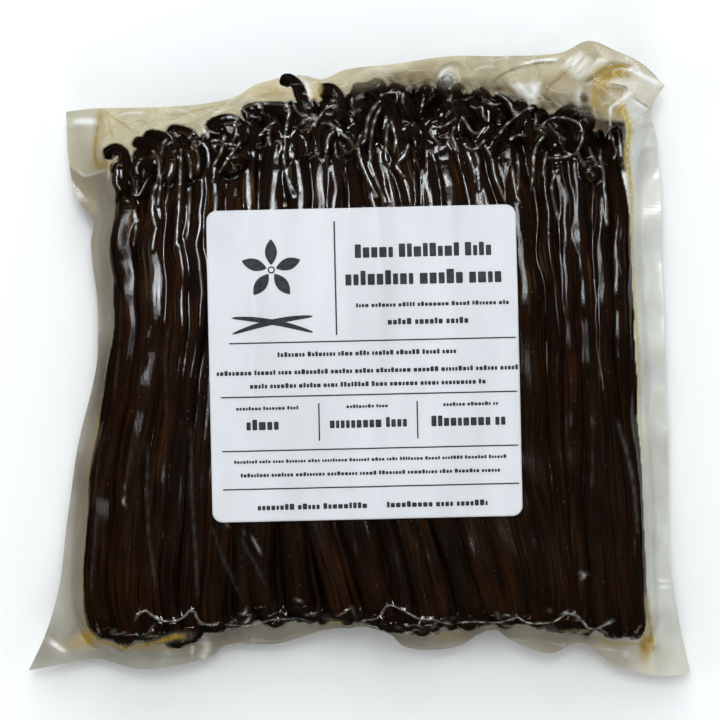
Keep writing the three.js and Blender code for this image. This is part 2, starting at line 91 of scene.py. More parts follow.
# Sharp folds of the film over the stem ends and along the pods beneath them.
CREASES = (
    ((-38.4, 80.2), (-34.5, 81.5), (-30.3, 81.8), (-25.5, 81.5), (-22.3, 80.9)),
    ((-23.6, 81.5), (-22.3, 79.6), (-22.9, 77.4), (-23.3, 74.8), (-23.9, 71.6), (-23.9, 66.8),
     (-24.2, 63.6), (-23.6, 59.7), (-22.6, 55.5), (-21.3, 51.4)),
    ((-21.3, 81.5), (-20.1, 79.3), (-17.8, 77.7), (-15.2, 77), (-13.3, 76.7)),
    ((-16.5, 72.5), (-15.2, 74.5), (-13.3, 76.7), (-11.4, 79.6), (-9.5, 80.9), (-7.5, 81.5)),
    ((-12, 75.4), (-9.5, 75.1), (-7.5, 73.5), (-5.3, 71.6), (-3, 69.7), (-2.1, 68)),
    ((-2.4, 83.5), (-2.4, 80.9), (-1.4, 79)),
    ((6.3, 82.2), (4.7, 80.2), (3.4, 78), (2.4, 75.4), (2.1, 72.5), (1.8, 70), (0.8, 68.7)),
    ((6.9, 80.6), (5.3, 77.4), (4.3, 74.1), (3.7, 70), (3.4, 66.1), (3.7, 61.9), (5, 57.8),
     (6.6, 53.9), (8.5, 49.8)),
    ((-0.5, 68.4), (0.2, 63.6), (2.1, 58.7), (4, 54.9), (5.6, 51.7)),
    ((6.9, 84.4), (9.8, 85.4), (12.4, 85.4), (14.3, 84.7)),
    ((8.5, 77.4), (8.8, 73.2), (8.5, 68.4), (8.5, 64.2), (9.5, 61)),
    ((10.4, 75.7), (11.1, 72.5), (11.7, 70), (11.1, 66.1)),
    ((15.6, 68.4), (14.6, 65.2), (13, 63.2), (11.7, 61.6), (12.7, 59.7), (14.3, 58.1)),
    ((-30.3, 73.2), (-28.7, 74.8), (-27.1, 75.7)), ((-28.7, 73.8), (-29, 71.3), (-28.7, 68.4)),
    ((-43.2, 75.1), (-40.9, 75.4), (-39, 75.1)), ((-39.6, 74.1), (-39.6, 71.9), (-40.6, 69.7)),
    ((-43.5, 71.6), (-43.8, 68.4), (-44.8, 65.2), (-46.7, 61.9)),
    ((-44.8, 59.7), (-42.2, 63.6), (-40, 66.8), (-38.4, 69)),
    ((-44.1, 77), (-41.6, 77.4), (-39, 76.7)), ((-6.3, 69), (-5, 66.8), (-4, 65.8)),
    ((-10.8, 66.1), (-10.1, 70), (-8.5, 72.5)),
    ((22.6, 72.5), (23.3, 73.8), (25.8, 74.1), (27.8, 74.8), (30.7, 76.7)),
    ((22.6, 72.5), (23.9, 70.6), (25.8, 68.7)),
    ((30.3, 73.8), (29.7, 71.6), (30.7, 68.7), (31.6, 66.4)),
    ((27.8, 71.3), (29.4, 68.7), (30.7, 66.8)),
    ((32.9, 77), (34.2, 75.1), (35.5, 73.2), (37.1, 72.2), (40, 72.9)),
    ((34.2, 67.4), (35.8, 66.8), (37.7, 67.4), (40, 69.7)),
    ((39.3, 84.1), (40.6, 82.2), (42.8, 81.5), (45.4, 81.8)),
    ((44.1, 85.4), (46.7, 83.8), (48.6, 81.5), (49.3, 79.3)),
    ((35.8, 80.9), (37.4, 80.2), (39.3, 80.6), (39.6, 78), (40.6, 76.4)),
    ((34.5, 66.1), (35.8, 62.9), (36.8, 59.7), (37.1, 56.5)),
    ((37.1, 65.8), (38, 63.6), (38, 59.7), (38.4, 53.9)),
    ((40.3, 68), (41.9, 65.2), (42.8, 61.6), (43.5, 57.8), (45.1, 53.9), (46.7, 49.8)),
    ((45.1, 72.2), (47, 74.8), (48.9, 76.4), (51.5, 78.6), (53.8, 80.2), (56, 80.6)),
    ((56.7, 78.6), (56.7, 76.4), (56.3, 73.8), (57.9, 72.9), (59.5, 71.9)),
    ((60.8, 75.1), (62.1, 73.2), (64, 71.3), (66, 70)), ((48.3, 70), (50.9, 71.6), (53.4, 71.3)),
    ((58.9, 70.9), (57.3, 69), (56.3, 66.8), (55.7, 63.6), (55.7, 59.7), (55, 53.9)),
    ((71.4, 71.9), (71.1, 69.3), (69.8, 66.1), (71.1, 63.6), (72.1, 61.6)),
    ((59.9, 65.8), (59.2, 62.6), (58.9, 58.7)),
    ((63.7, 60.3), (62.4, 58.1), (61.5, 55.5), (61.8, 52.3), (62.7, 48.1), (63.7, 44.3)),
    ((50.6, 65.2), (50.9, 61.9), (50.9, 57.1), (50.2, 51.4)),
    ((48.9, 60.7), (49.3, 57.1), (50.2, 52.3), (51.2, 49.8)),
    ((77.5, 66.8), (77.2, 63.6), (78.2, 59.7), (78.5, 53.9), (79.1, 49.1), (79.1, 42.7)),
    ((81.4, 71.6), (82, 68.4), (82.6, 65.8), (81.7, 64.2)),
    ((83.6, 72.5), (83.9, 69.3), (84.3, 65.2)), ((80.7, 77), (80.7, 73.8), (80.4, 70.6)),
    ((73.7, 67.4), (74.6, 64.8), (76.2, 61.9)),
    ((57.9, 73.2), (59.9, 76.1), (63.1, 77.4), (66.9, 77), (70.1, 75.1), (71.7, 71.9)),
    ((60.5, 64.2), (63.7, 64.2), (66.9, 64.8), (69.8, 65.8)),
    ((-66.3, 66.4), (-64.7, 64.2), (-64, 61), (-64.7, 57.1), (-66, 53.3), (-66.6, 50.1),
     (-66.3, 45.9), (-65.3, 41.7), (-66, 37.9), (-66.3, 34.7)),
    ((-63.4, 67.4), (-62.7, 69.3), (-62.1, 70.3)), ((-63.7, 58.7), (-64, 53.9), (-64.7, 49.1)),
    ((-57.3, 66.8), (-57.3, 61.9), (-57.6, 55.5), (-57.9, 49.1), (-58.3, 42.7), (-58.6, 36.3)),
    ((-55, 65.5), (-54.1, 61.9), (-54.1, 57.8)),
    ((-53.4, 69), (-52.2, 66.4), (-51.5, 63.6), (-51.8, 60)), ((-54.7, 70.6), (-53.4, 72.5)),
    ((-49.9, 75.7), (-49.9, 73.2), (-49.3, 71.6)), ((-47, 61.3), (-46.7, 58.7), (-47, 56.5)),
    ((-54.4, 54.6), (-54.4, 50.7), (-54.7, 44.3), (-55.4, 37.9)), ((-71.4, 56.5), (-71.7, 52.3)),
    ((-72.1, 47.5), (-71.7, 42.7), (-72.4, 36.3)),
)

# Folds of the film's margin, wrinkles over the blunt ends, and glints on the pods: kind, points,
# height, half width and strength. At a height of 0 the film is only coloured. Oil is a stain; the
# other kinds have a colour: glare and shine are painted highlights, sheen a painted faint
# reflection, shade a painted shadow along a fold, and edge a painted highlight line along a rim.
# A later one lies over an earlier one.
FOLDS = (
    ("glare", ((-94.2, 76.7), (-89, 76.9), (-84.2, 76.8)), 0.0, 1.1, 1.0),
    ("glare", ((-83.2, 76.7), (-81, 76.5)), 0.0, 0.8, 0.8),
    ("oil", ((-84, 81), (-80, 78), (-76, 75.4), (-72.6, 72.6)), 0.5, 0.4, 0.7),
    ("oil", ((-84.7, 77), (-85.6, 71), (-85.8, 65.5), (-84.8, 63), (-82.4, 62)), 0.7, 0.5, 0.9),
    ("glare", ((-92.1, 61.3), (-89.2, 59.2), (-86.1, 59.8), (-81.6, 60.6)), 0.5, 0.4, 0.5),
    ("glare", ((-81, 67.5), (-80.4, 62), (-80.6, 57)), 0.4, 0.5, 0.4),
    ("glare", ((-72.4, 75), (-70.6, 78), (-67, 78.4), (-64.6, 75.6), (-67, 72.6)), 0.5, 0.35, 0.12),
    ("oil", ((-64, 79), (-58, 78.6), (-52, 80.2), (-46, 81.4)), 0.4, 0.4, 0.5),
    ("oil", ((-81.6, 79.4), (-81, 75), (-79.4, 70.6)), 0.5, 0.5, 0.6),
    ("glare", ((-79, 78.4), (-75, 79.6), (-69, 79.4)), 0.5, 0.35, 0.6),
    ("shade", ((-74, 76), (-70.4, 76.8), (-67.6, 74.4)), 0.5, 0.35, 0.3),
    ("glare", ((-60, 80.6), (-56, 79.8), (-52.4, 77.4)), 0.5, 0.35, 0.5),
    ("glare", ((-50, 81.2), (-46.4, 79.4), (-43, 79.8)), 0.5, 0.35, 0.5),
    ("glare", ((-44, 80.6), (-39, 82.4), (-34, 86)), 0.7, 0.5, 0.15),
    ("glare", ((-18, 90), (-17, 86.5), (-15.8, 83)), 0.9, 1.0, 0.9),
    ("oil", ((-13.4, 90), (-12.6, 87), (-13.6, 83.6)), 0.6, 0.6, 0.9),
    ("glare", ((-2, 91), (4, 93.4), (10, 93.6)), 0.6, 0.6, 0.15),
    ("shade", ((23.4, 88), (24.6, 91.5), (28, 95), (32, 95.4), (34.6, 92)), 0.9, 0.6, 0.4),
    ("oil", ((32.6, 87), (33, 90), (32, 93.6)), 0.5, 0.5, 0.5),
    ("shine", ((27.4, 88.4), (28.6, 90.4), (29.8, 91.6)), 0.0, 1.5, 0.8),
    ("glare", ((25.4, 89.5), (27, 92.5), (29.6, 94)), 0.6, 0.5, 0.8),
    ("glare", ((27.6, 89.6), (28.6, 90.8), (30, 91)), 0.5, 0.7, 1.0),
    ("glare", ((32, 88.4), (32.4, 91), (31, 93)), 0.4, 0.4, 0.6),
    ("shade", ((42, 87.7), (45, 91), (49, 93.4), (56, 95.6), (64.6, 96.4)), 0.7, 0.5, 0.8),
    ("glare", ((52, 95.2), (58, 96.9), (65, 97.4)), 0.8, 0.4, 0.9),
    ("shade", ((60, 84), (61.4, 88), (65.4, 91.4), (70, 95.8)), 0.6, 0.5, 0.6),
    ("shade", ((10, 91.4), (17, 93), (23, 92)), 0.5, 0.4, 0.35),
    ("glare", ((36, 92.6), (40, 94.4), (45, 94.6)), 0.5, 0.4, 0.4),
    ("glare", ((50, 89.4), (53, 86.8), (55.6, 83)), 0.7, 1.4, 0.7),
    ("glare", ((57, 89.6), (56.6, 86.4), (55.6, 83)), 0.6, 1.2, 0.8),
    ("glare", ((66.6, 95.4), (69.4, 98.2)), 0.5, 0.5, 0.9),
    ("glare", ((68.4, 94), (72, 98.6)), 0.5, 0.5, 1.0),
    ("glare", ((69.8, 92.2), (74, 97.4)), 0.5, 0.5, 0.9),
    ("glare", ((71.2, 91), (75.6, 95.6)), 0.5, 0.45, 0.7),
    ("glare", ((75.4, 94.6), (77.6, 96.4), (80.2, 96.2)), 0.6, 0.6, 1.0),
    ("shade", ((70.4, 94.6), (74.4, 99.6)), 0.4, 0.4, 0.35),
    ("shade", ((72.6, 92.4), (77, 97.4)), 0.4, 0.4, 0.35),
    ("shade", ((72, 88.7), (76.6, 91.6), (79.9, 93.9), (84, 94.9), (89, 94.1)), 0.9, 0.7, 0.9),
    ("oil", ((76.4, 91.4), (79.9, 93.6), (84, 94.4), (88, 93.6)), 0.6, 0.8, 1.0),
    ("oil", ((82, 91.2), (84.6, 92.4), (86.6, 91.4)), 0.5, 0.5, 1.0),
    ("oil", ((76.2, 88.6), (76, 84), (75.8, 79.6)), 0.8, 0.6, 0.9),
    ("glare", ((83.1, 94.1), (86.8, 93.2), (93.2, 90.4), (97.8, 88.2)), 0.6, 0.9, 1.0),
    ("shade", ((80, 88.8), (84, 88.2), (86.3, 87.4), (86, 85.4)), 0.5, 0.35, 0.9),
    ("glare", ((87.6, 85.6), (84, 82.9), (81.3, 80.9), (80.9, 77.4)), 0.7, 0.5, 0.9),
    ("glare", ((87.4, 84.4), (90.5, 82), (94.8, 79.2)), 0.6, 0.4, 0.8),
    ("shade", ((88, 84.8), (91, 82.8), (94.6, 80.8)), 0.3, 0.35, 0.6),
    ("oil", ((86.4, 82.4), (84.2, 80.2), (83.4, 77.6)), 0.5, 0.7, 0.9),
    ("glare", ((-101.4, -91.8), (-98, -94), (-95, -96)), 0.5, 0.9, 0.9),
    ("glare", ((-62.4, -93.4), (-62, -95.6)), 0.4, 0.6, 0.7),
    ("glare", ((-54.4, -90), (-54, -93.4), (-54.6, -97)), 0.6, 0.5, 1.0),
    ("glare", ((-50.6, -91), (-49.6, -93.6), (-50.4, -96.4)), 0.7, 1.3, 1.0),
    ("glare", ((-34.4, -90.4), (-35, -92.6)), 0.4, 0.4, 0.4),
    ("glare", ((97, -72.4), (101.6, -72.8)), 0.4, 0.5, 0.5),
    ("glare", ((97.4, -75), (102, -74.6)), 0.4, 0.5, 0.4),
    ("glare", ((94, -93), (95.6, -91.6), (96.4, -94)), 0.6, 0.6, 0.8),
    ("glare", ((66, -92), (67, -94.4)), 0.4, 0.4, 0.4),
    ("edge", ((-72, -84.1), (-71, -82.5), (-68.8, -80.6), (-67.5, -81.2), (-66.2, -82.5),
             (-63.9, -83.8), (-61.3, -84.1), (-58.1, -83.8), (-55.8, -82.5), (-54.2, -80.6),
             (-52.9, -80.9), (-51.9, -83.2), (-50.6, -84.8), (-47.7, -85.4), (-44.2, -84.8)),
             0.4, 0.26, 0.85),
    ("edge", ((-44.2, -85.4), (-40.3, -85.7), (-35.4, -86.1), (-31.5, -85.1), (-29, -84.1),
             (-25.7, -83.8), (-21.8, -83.8), (-18.3, -84.1), (-15, -85.1)), 0.25, 0.22, 0.7),
    ("edge", ((-7.9, -82.8), (-4.7, -81.2), (-2.4, -79.9), (-1.8, -81.5), (-0.8, -83.8)),
             0.4, 0.3, 0.5),
    ("edge", ((-71, -88.7), (-68.4, -88.7), (-66.8, -86.7), (-65.2, -84.8)), 0.4, 0.3, 0.35),
    ("edge", ((-79.8, -88.7), (-76.8, -88.3), (-74.3, -88)), 0.4, 0.3, 0.4),
    ("edge", ((-84.6, -85.4), (-83.6, -87.4), (-83, -89.9)), 0.4, 0.3, 0.4),
    ("edge", ((-71, -89.9), (-67.8, -89.3), (-64.5, -89), (-62.6, -90.3)), 0.4, 0.3, 0.3),
    ("edge", ((0.2, -84.4), (5, -83.5), (6.6, -82.5), (7.9, -80.2), (9.2, -78.9), (11.2, -79.3),
             (13.8, -80.6), (16.3, -81.9), (18.6, -83.2), (20.9, -83.8), (23.1, -83.5),
             (25.1, -84.1), (27.7, -85.1), (29.9, -84.8)), 0.25, 0.22, 0.8),
    ("edge", ((30.9, -85.1), (35.8, -84.4), (40.6, -84.8), (44.8, -84.8), (48, -83.8),
             (50, -82.5), (51.9, -83.8), (54.2, -85.1), (56.8, -84.8), (60, -84.8),
             (62.6, -84.4), (64.5, -82.8), (66.5, -81.5), (68.8, -81.9), (70.7, -83.5),
             (72.3, -85.4), (73.9, -87.4), (76.2, -86.7), (78.5, -85.4), (80.7, -84.4)),
             0.4, 0.26, 0.85),
    ("edge", ((44.5, -81.5), (44.5, -83.5), (46.4, -82.2), (49.3, -82.8)), 0.4, 0.3, 0.5),
    ("edge", ((13.1, -86.4), (15.7, -88.3), (18, -87), (21.2, -88)), 0.4, 0.3, 0.5),
    ("edge", ((14.7, -85.7), (18, -85.4), (21.2, -86.7)), 0.4, 0.3, 0.4),
    ("edge", ((81, -89), (83.6, -90.3), (85.9, -90.3), (88.2, -89.3)), 0.4, 0.3, 0.45),
    ("edge", ((88.5, -89), (89.5, -86.7), (90.8, -85.7)), 0.4, 0.3, 0.4),
    ("shine", ((-37.7, -85.4), (-36.1, -84.4), (-34.8, -82.5)), 0.0, 0.5, 1.0),
    ("shine", ((-38.3, -81.9), (-36.7, -81.5), (-36.1, -79.9)), 0.0, 0.45, 0.9),
    ("shine", ((-20.5, -77), (-18.3, -78)), 0.0, 0.45, 0.9),
    ("shine", ((-17.6, -82.5), (-15.7, -82.2)), 0.0, 0.4, 0.8),
    ("shine", ((-79.4, -88), (-78.5, -87.4)), 0.0, 0.6, 0.9),
    ("shine", ((-63.9, -83.5), (-63.6, -84.1)), 0.0, 0.45, 0.8),
    ("shine", ((-2.8, -79.6), (-2.1, -80.2)), 0.0, 0.45, 0.7),
    ("shine", ((23.1, -86.1), (24.1, -85.7)), 0.0, 0.6, 1.0),
    ("shine", ((27, -84.4), (28.6, -85.1), (29.3, -85.4)), 0.0, 0.5, 0.95),
    ("shine", ((29.6, -83.2), (30.3, -83.2)), 0.0, 0.5, 0.8),
    ("shine", ((11.8, -86.1), (12.8, -86.4)), 0.0, 0.5, 0.9),
    ("shine", ((60.7, -80.6), (61, -80.9)), 0.0, 0.5, 0.9),
    ("shine", ((78.5, -85.4), (79.8, -84.8), (81, -84.1)), 0.0, 0.45, 0.7),
    ("shine", ((70.7, -83.5), (72.3, -85.4), (73.9, -87.4)), 0.0, 0.35, 0.7),
    ("shine", ((43.8, -81.5), (44.5, -81.9)), 0.0, 0.45, 0.8),
    ("shine", ((-75.2, -40.1), (-74.9, -42.7)), 0.0, 0.3, 0.5),
    ("shine", ((-74.9, -44), (-75.5, -45.9), (-74.6, -47.6)), 0.0, 0.4, 0.7),
    ("shine", ((-43.2, -52.1), (-41.3, -54.4)), 0.0, 0.3, 0.6),
    ("shine", ((-34.8, -56.3), (-32.8, -59.9), (-31.2, -63.1)), 0.0, 0.3, 0.6),
    ("shine", ((-37.4, -54.7), (-36.4, -56.9)), 0.0, 0.3, 0.35),
    ("shine", ((70.7, -68.6), (71.7, -69.6), (71, -70.5)), 0.0, 0.5, 0.8),
    ("shine", ((72, -68.6), (73, -69.2)), 0.0, 0.35, 0.4),
    ("shine", ((57.8, -33.6), (58.1, -34.3)), 0.0, 0.35, 0.4),
    ("shine", ((61.3, -37.9), (61.3, -39.5)), 0.0, 0.3, 0.25),
    ("oil", ((-87.2, -88.7), (-84.9, -91.2), (-80.7, -92.5), (-74.3, -93.5), (-67.8, -92.2),
             (-62.9, -90.6), (-59.4, -89.3), (-54.8, -89)), 0.0, 1.1, 1.1),
    ("oil", ((-10.8, -83.5), (-8.3, -84.8), (-4.7, -85.4)), 0.0, 0.9, 0.6),
    ("oil", ((45.5, -85.7), (49.3, -86.4), (54.5, -86.1)), 0.0, 0.5, 0.6),
    ("oil", ((63.6, -88.3), (68.1, -88), (74.6, -87.4)), 0.0, 0.6, 0.6),
    ("oil", ((77.2, -90.6), (81, -92.2), (86.9, -92.5), (91.4, -92.2)), 0.0, 0.8, 0.9),
    ("oil", ((92.7, -76.2), (93.6, -86.4), (95.0, -91.9), (95.9, -96.1)), 0.0, 0.9, 1.3),
    ("oil", ((-40.3, -84.1), (-38.7, -84.8)), 0.0, 0.6, 0.6),
    ("sheen", ((-82.8, -22.3), (-84, -36), (-85.6, -49)), 0.0, 0.5, 0.5),
    ("sheen", ((-84.2, -48.9), (-84.8, -58.7), (-85.6, -68.4), (-86, -74.8)), 0.0, 0.5, 0.7),
    ("sheen", ((-72.8, -26.7), (-74, -36), (-76.2, -47.7)), 0.0, 0.5, 0.5),
    ("sheen", ((-67.8, -26.7), (-67.8, -42.3), (-67.3, -56.7), (-65, -73.4)), 0.0, 0.55, 0.9),
    ("sheen", ((-53.9, -21.1), (-53.6, -42.3), (-52.2, -64.5), (-51.7, -77.7)), 0.0, 0.55, 0.9),
    ("sheen", ((-47.3, -53.4), (-43.6, -64), (-38.3, -75.6)), 0.0, 0.5, 0.7),
    ("sheen", ((-38.3, -56.7), (-34.4, -64), (-29.4, -73.4)), 0.0, 0.5, 0.7),
    ("sheen", ((82.4, -20), (85.8, -31.1), (88, -42.3), (89.2, -56.7)), 0.0, 0.5, 0.9),
    ("sheen", ((-61, 10), (-62, -4), (-61.6, -20)), 0.0, 0.5, 0.6),
    ("sheen", ((-76.6, 20), (-77, 4), (-79, -14)), 0.0, 0.5, 0.6),
)

# Height that the lowest pods are pressed flat at, just over the film's back.
PRESSED = 0.34

# Free edge of the film, one run for each side from corner to corner.
BOTTOM_LEFT, BOTTOM_RIGHT = (-107.6, -101.6), (107.8, -102.4)
TOP_LEFT, TOP_RIGHT = (-95.4, 80.0), (98.8, 88.2)
BOTTOM_RUN = (
    BOTTOM_LEFT, (-96, -99.6), (-86.5, -98), (-72, -101), (-61, -100.2), (-48.5, -97.2),
    (-43, -93.4), (-27, -93), (-10, -88), (5, -87.2), (10, -89.2), (15, -94), (33, -93.6),
    (39, -89.4), (44, -87.8), (49, -91.6), (62, -96), (72, -92.8), (83, -99.8), (100, -103.6),
    BOTTOM_RIGHT,
)
RIGHT_RUN = (
    BOTTOM_RIGHT, (103.6, -84), (100.8, -65), (100.3, -30), (98.4, 30), (96.8, 70), (94.6, 81),
    TOP_RIGHT,
)
TOP_RUN = (
    TOP_LEFT, (-86, 81), (-66, 81.4), (-50, 82.4), (-40, 84.6), (-34, 88.4), (-28, 90.2),
    (-19, 91.6), (-12, 90.2), (-5, 93.4), (10, 95.2), (29, 98), (48, 98.2), (66, 99.6),
    (74.4, 103.2), (83, 99.4), (91.5, 95), TOP_RIGHT,
)
LEFT_RUN = (
    BOTTOM_LEFT, (-102.2, -90), (-97.6, -74), (-94.6, -48), (-91, -26), (-85.4, -1), (-85.4, 18),
    (-87.4, 37), (-86.6, 45), (-91.4, 51), (-94.6, 64), TOP_LEFT,
)

# Pieces that the pods are joined into: rings along a pod and points round a ring.
POD_PIECES = {"pods_top": (100, 18), "pods_second": (84, 14), "pods_inner": (30, 8),
              "pods_under": (64, 14)}

# Stems that stray over the others: how many lie loose, rings along one, and share of a pod's size.
LOOSE_STEMS, STRAY_RINGS, STRAY_SHARE = 22, 26, 0.72

# Small wrinkles of the film over the blunt ends, beside those in FOLDS.
BLUNT_WRINKLES = 30

# The stems that stray past the bundle: points on the centre line, and share of size.
STRAYS = (
    (((-77, 55, 25), (-75.4, 61.5, 25), (-76.2, 66, 23), (-79, 67.4, 21), (-82, 64.6, 18.5)), 0.7),
    (((-72, 54, 26), (-73.4, 60, 25), (-76.4, 61.6, 24), (-79.4, 59.6, 20)), 0.6),
    (((-64, 60, 27), (-63.4, 66.5, 26), (-66.5, 69, 25), (-70, 69.3, 23.6), (-73, 69, 22)), 0.6),
    (((-60.6, 64, 27), (-62, 70, 25.6), (-65.8, 71.8, 23.6), (-69.6, 71, 21)), 0.55),
    (((-52.6, 64, 28), (-53.6, 71, 26.6), (-57.4, 73.4, 25), (-61.8, 73, 22.4)), 0.6),
    (((-37, 69, 28), (-38.4, 74.6, 27.6), (-42, 76.4, 26.4), (-46, 75.2, 25),
      (-47.6, 72, 24)), 0.8),
    (((-22.4, 73, 28), (-23.4, 79, 26), (-29, 80.2, 25), (-34.6, 79.4, 23),
      (-36.8, 77, 22)), 0.85),
    (((-16, 77, 25), (-18.6, 84, 20.4), (-20.4, 88.6, 18), (-23, 90.2, 17.2),
      (-25.6, 88.8, 16.6)), 0.7),
    (((-6, 76, 26), (-6.6, 82.6, 23), (-9.4, 85.8, 20), (-12.4, 84.6, 18)), 0.95),
    (((9, 76, 26), (7, 83, 22), (2, 86.5, 19), (-2.4, 85.6, 17.5)), 0.85),
    (((22, 76, 27), (23.6, 82, 24), (28.6, 85, 21), (33, 83, 20)), 0.7),
    (((40, 72, 27), (39, 79.4, 24.4), (34.6, 83.4, 22), (30, 81.6, 21)), 0.6),
    (((49, 70, 27), (51, 77, 25), (47.6, 82, 22.5), (43, 83, 19)), 0.66),
    (((60, 68, 26), (63, 75.6, 24), (67.4, 79.4, 21.5), (71, 77, 20)), 0.75),
    (((72.6, 68, 26), (73, 76, 23), (72.6, 81.4, 19)), 0.62),
    (((76, 56, 26), (79, 65, 24), (82.4, 71.4, 21), (85.6, 69.6, 18.5)), 0.72),
)

# Pieces of the film: name, whose heights, share of the length, shares of the columns and rows, and
# how much closer the columns are on the walls.
FILM_PIECES = (
    ("film_blunt", "front", (0, 0.12), 1.0, 0.7, 0.8),
    ("film_front", "front", (0.12, 0.74), 1.0, 1.0, 1.5),
    ("film_stem", "front", (0.74, 1), 1.0, 1.0, 0.3),
    ("film_back", "back", (0, 1), 0.5, 0.5, 1.5),
)

# Pools of vanilla oil in the seam: middle, half width, half length and strength.
STAINS = (
    (93, -90, 2.5, 8, 1.5), (-88.5, -91, 3, 2.6, 1.1), (-92, -93, 5, 2, 0.5),
    (78.2, 90, 2.4, 3.4, 1.4), (84, 91.8, 4, 1.7, 1.2), (-84, 77, 1.5, 3, 0.8),
    (-85.5, 70, 0.8, 6, 0.7), (-83, 62.5, 4, 1.6, 0.9), (-28, 86, 6, 2, 0.5),
    (-13, 84, 2.5, 3.5, 0.7), (-62, -93.5, 16, 1.3, 0.6), (30, -90, 10, 1.5, 0.4),
)

# Colours of the kinds of folds: painted highlights for glare and shine, a painted highlight line
# for edge, painted shadow for shade and painted reflection for sheen.
FOLD_COLOURS = {"glare": (0.97, 0.98, 0.95), "shine": (0.97, 0.98, 0.95),
                "edge": (0.50, 0.46, 0.39), "shade": (0.22, 0.17, 0.09),
                "sheen": (0.46, 0.46, 0.48)}

# Folded corner of the film at the top left, which isn't embossed.
FLAP_LEFT = ((-97, 82), (-84, 81), (-84.7, 75.5), (-85.8, 65.5), (-84.5, 61), (-89.2, 59.2),
             (-93, 61.5), (-98, 68))

# Parts of the margin with a tone of their own; a few are painted highlights and painted shade.
# Colour, strength, soft edge and outline.
CREAM, TAN = (0.72, 0.67, 0.52), (0.36, 0.28, 0.15)
PATCHES = (
    ((0.54, 0.51, 0.40), 0.9, 0.8, FLAP_LEFT),
    ((0.36, 0.31, 0.21), 0.85, 0.8,
     ((-93, 60.6), (-89.2, 58.4), (-86, 58.8), (-84.6, 56), (-85, 50), (-85.6, 46), (-90, 48),
      (-94, 54))),
    (TAN, 0.6, 2.5, ((58.5, 83), (70, 83), (72, 90), (66, 93.5), (59, 91))),
    (CREAM, 0.8, 1.2, ((25.5, 88), (26, 92), (29, 94.6), (32, 93.4), (32.4, 89.6), (30.4, 87.4))),
    # Painted highlight: the bright crumpled triangle in the top margin.
    ((0.95, 0.94, 0.88), 0.65, 1.6, ((48.2, 88.4), (58.8, 89.6), (56.6, 83), (52.7, 82))),
    # Painted highlight: brushed glare on the crumpled corner at the top right.
    ((0.93, 0.91, 0.80), 0.6, 1.4,
     ((66, 95), (71.6, 100), (76, 96.4), (80.6, 98), (80, 95.6), (75.7, 92.4), (71, 90.4))),
    (CREAM, 0.7, 1.0,
     ((76, 102), (84.5, 99), (92, 95), (98, 89), (90, 92.6), (84, 95.6), (79, 96.6))),
    ((0.78, 0.75, 0.63), 0.95, 0.8,
     ((83, 93.6), (99, 89.4), (98, 87), (94.8, 80.4), (87.7, 84.3), (86, 87.4), (80.4, 88.8))),
    # Amber tan beside the corner's fold, darkened by painted shade.
    (TAN, 0.8, 1.4, ((72, 88.7), (76.2, 88.4), (75.7, 78.6), (71.6, 80))),
    ((0.36, 0.28, 0.13), 0.92, 1.4,
     ((75.6, 88.4), (86, 87.7), (85.6, 84.5), (84.6, 81.9), (86.6, 75.4), (76.4, 75.4),
      (75, 83.2))),
    ((0.012, 0.008, 0.005), 1.0, 1.4, ((73, 77), (86.2, 76.4), (86.6, 60), (82, 60), (77, 70))),
    (CREAM, 0.3, 1.2, ((79.6, 86.6), (85.2, 86.4), (84, 83.4), (81, 81.6), (80, 83))),
    # Painted shade: the top margin darker over its middle.
    (TAN, 0.5, 3.0, ((11.5, 92), (18, 96), (24.5, 95.5), (24.7, 86), (11.5, 85))),
    ((0.05, 0.035, 0.02), 0.9, 1.2,
     ((71, 84.4), (72, 85.8), (73.6, 85.4), (74.2, 83.6), (73.4, 82.2), (71.6, 82.4))),
)


# ------------------------------------------------------------------------------ settings

def setting(name, description, default, **limits):
    """A number that the panel shows."""
    return bpy.props.FloatProperty(name=name, description=description, default=default, **limits)


def count_setting(name, description, default, **limits):
    """A whole number that the panel shows."""
    return bpy.props.IntProperty(name=name, description=description, default=default, **limits)


def distance_setting(name, description, default):
    """A distance in metres that the panel shows."""
    return setting(name, description, default, subtype="DISTANCE", unit="LENGTH")


def power_setting(name, description, default):
    """The power of a light that the panel shows."""
    return setting(name, description, default, subtype="POWER", unit="POWER")


def colour_setting(name, description, default):
    """A colour that the panel shows."""
    return bpy.props.FloatVectorProperty(
        name=name, description=description, default=default, subtype="COLOR", size=3)


class BundleSettings(bpy.types.PropertyGroup):
    """Sizes of the pods and of their bundle, in millimetres."""

    middle: setting("Middle height", "Height of the bundle's middle plane (mm)", 17.6)
    half_depth: setting("Half depth", "Middle plane to the centre line of a top pod (mm)", 15.6)
    squareness: setting("Squareness", "Superellipse power of the cross-section", 5.5)
    pod_width: setting("Pod width", "Width of a pod at its widest (mm)", 7.2)
    pod_depth: setting("Pod depth", "Thickness of a pod at its widest (mm)", 4.8)
    across: count_setting("Pods across", "Pods side by side in one layer", 25, min=4)
    seed: count_setting("Seed", "Draw that scatters the pods", 7)


class FilmSettings(bpy.types.PropertyGroup):
    """How the film lies on the pods and in its margin."""

    cling: setting("Cling", "Suction over film tension: how deep the film dips (per mm)", 0.9,
                   min=0.0)
    seal_height: setting("Seal height", "Height of the margin at the bundle (mm)", 14.0)
    droop: setting("Droop", "How far the free edge hangs lower (mm)", 3.4)
    columns: count_setting("Columns", "Faces of a film piece from left to right", 500, min=8)
    rows: count_setting("Rows", "Faces of a film piece from bottom to top", 196, min=8)


class LabelSettings(bpy.types.PropertyGroup):
    """Place and size of the label, in millimetres."""

    width: setting("Width", "Label width (mm)", 99.0)
    length: setting("Length", "Label length (mm)", 99.6)
    corner: setting("Corner", "Corner radius (mm)", 3.3)
    x: setting("X", "Middle of the label, across (mm)", 1.5)
    y: setting("Y", "Middle of the label, along (mm)", -1.7)
    turn: setting("Turn", "Angle the label is stuck on at", math.radians(1.3), subtype="ANGLE",
                  unit="ROTATION")


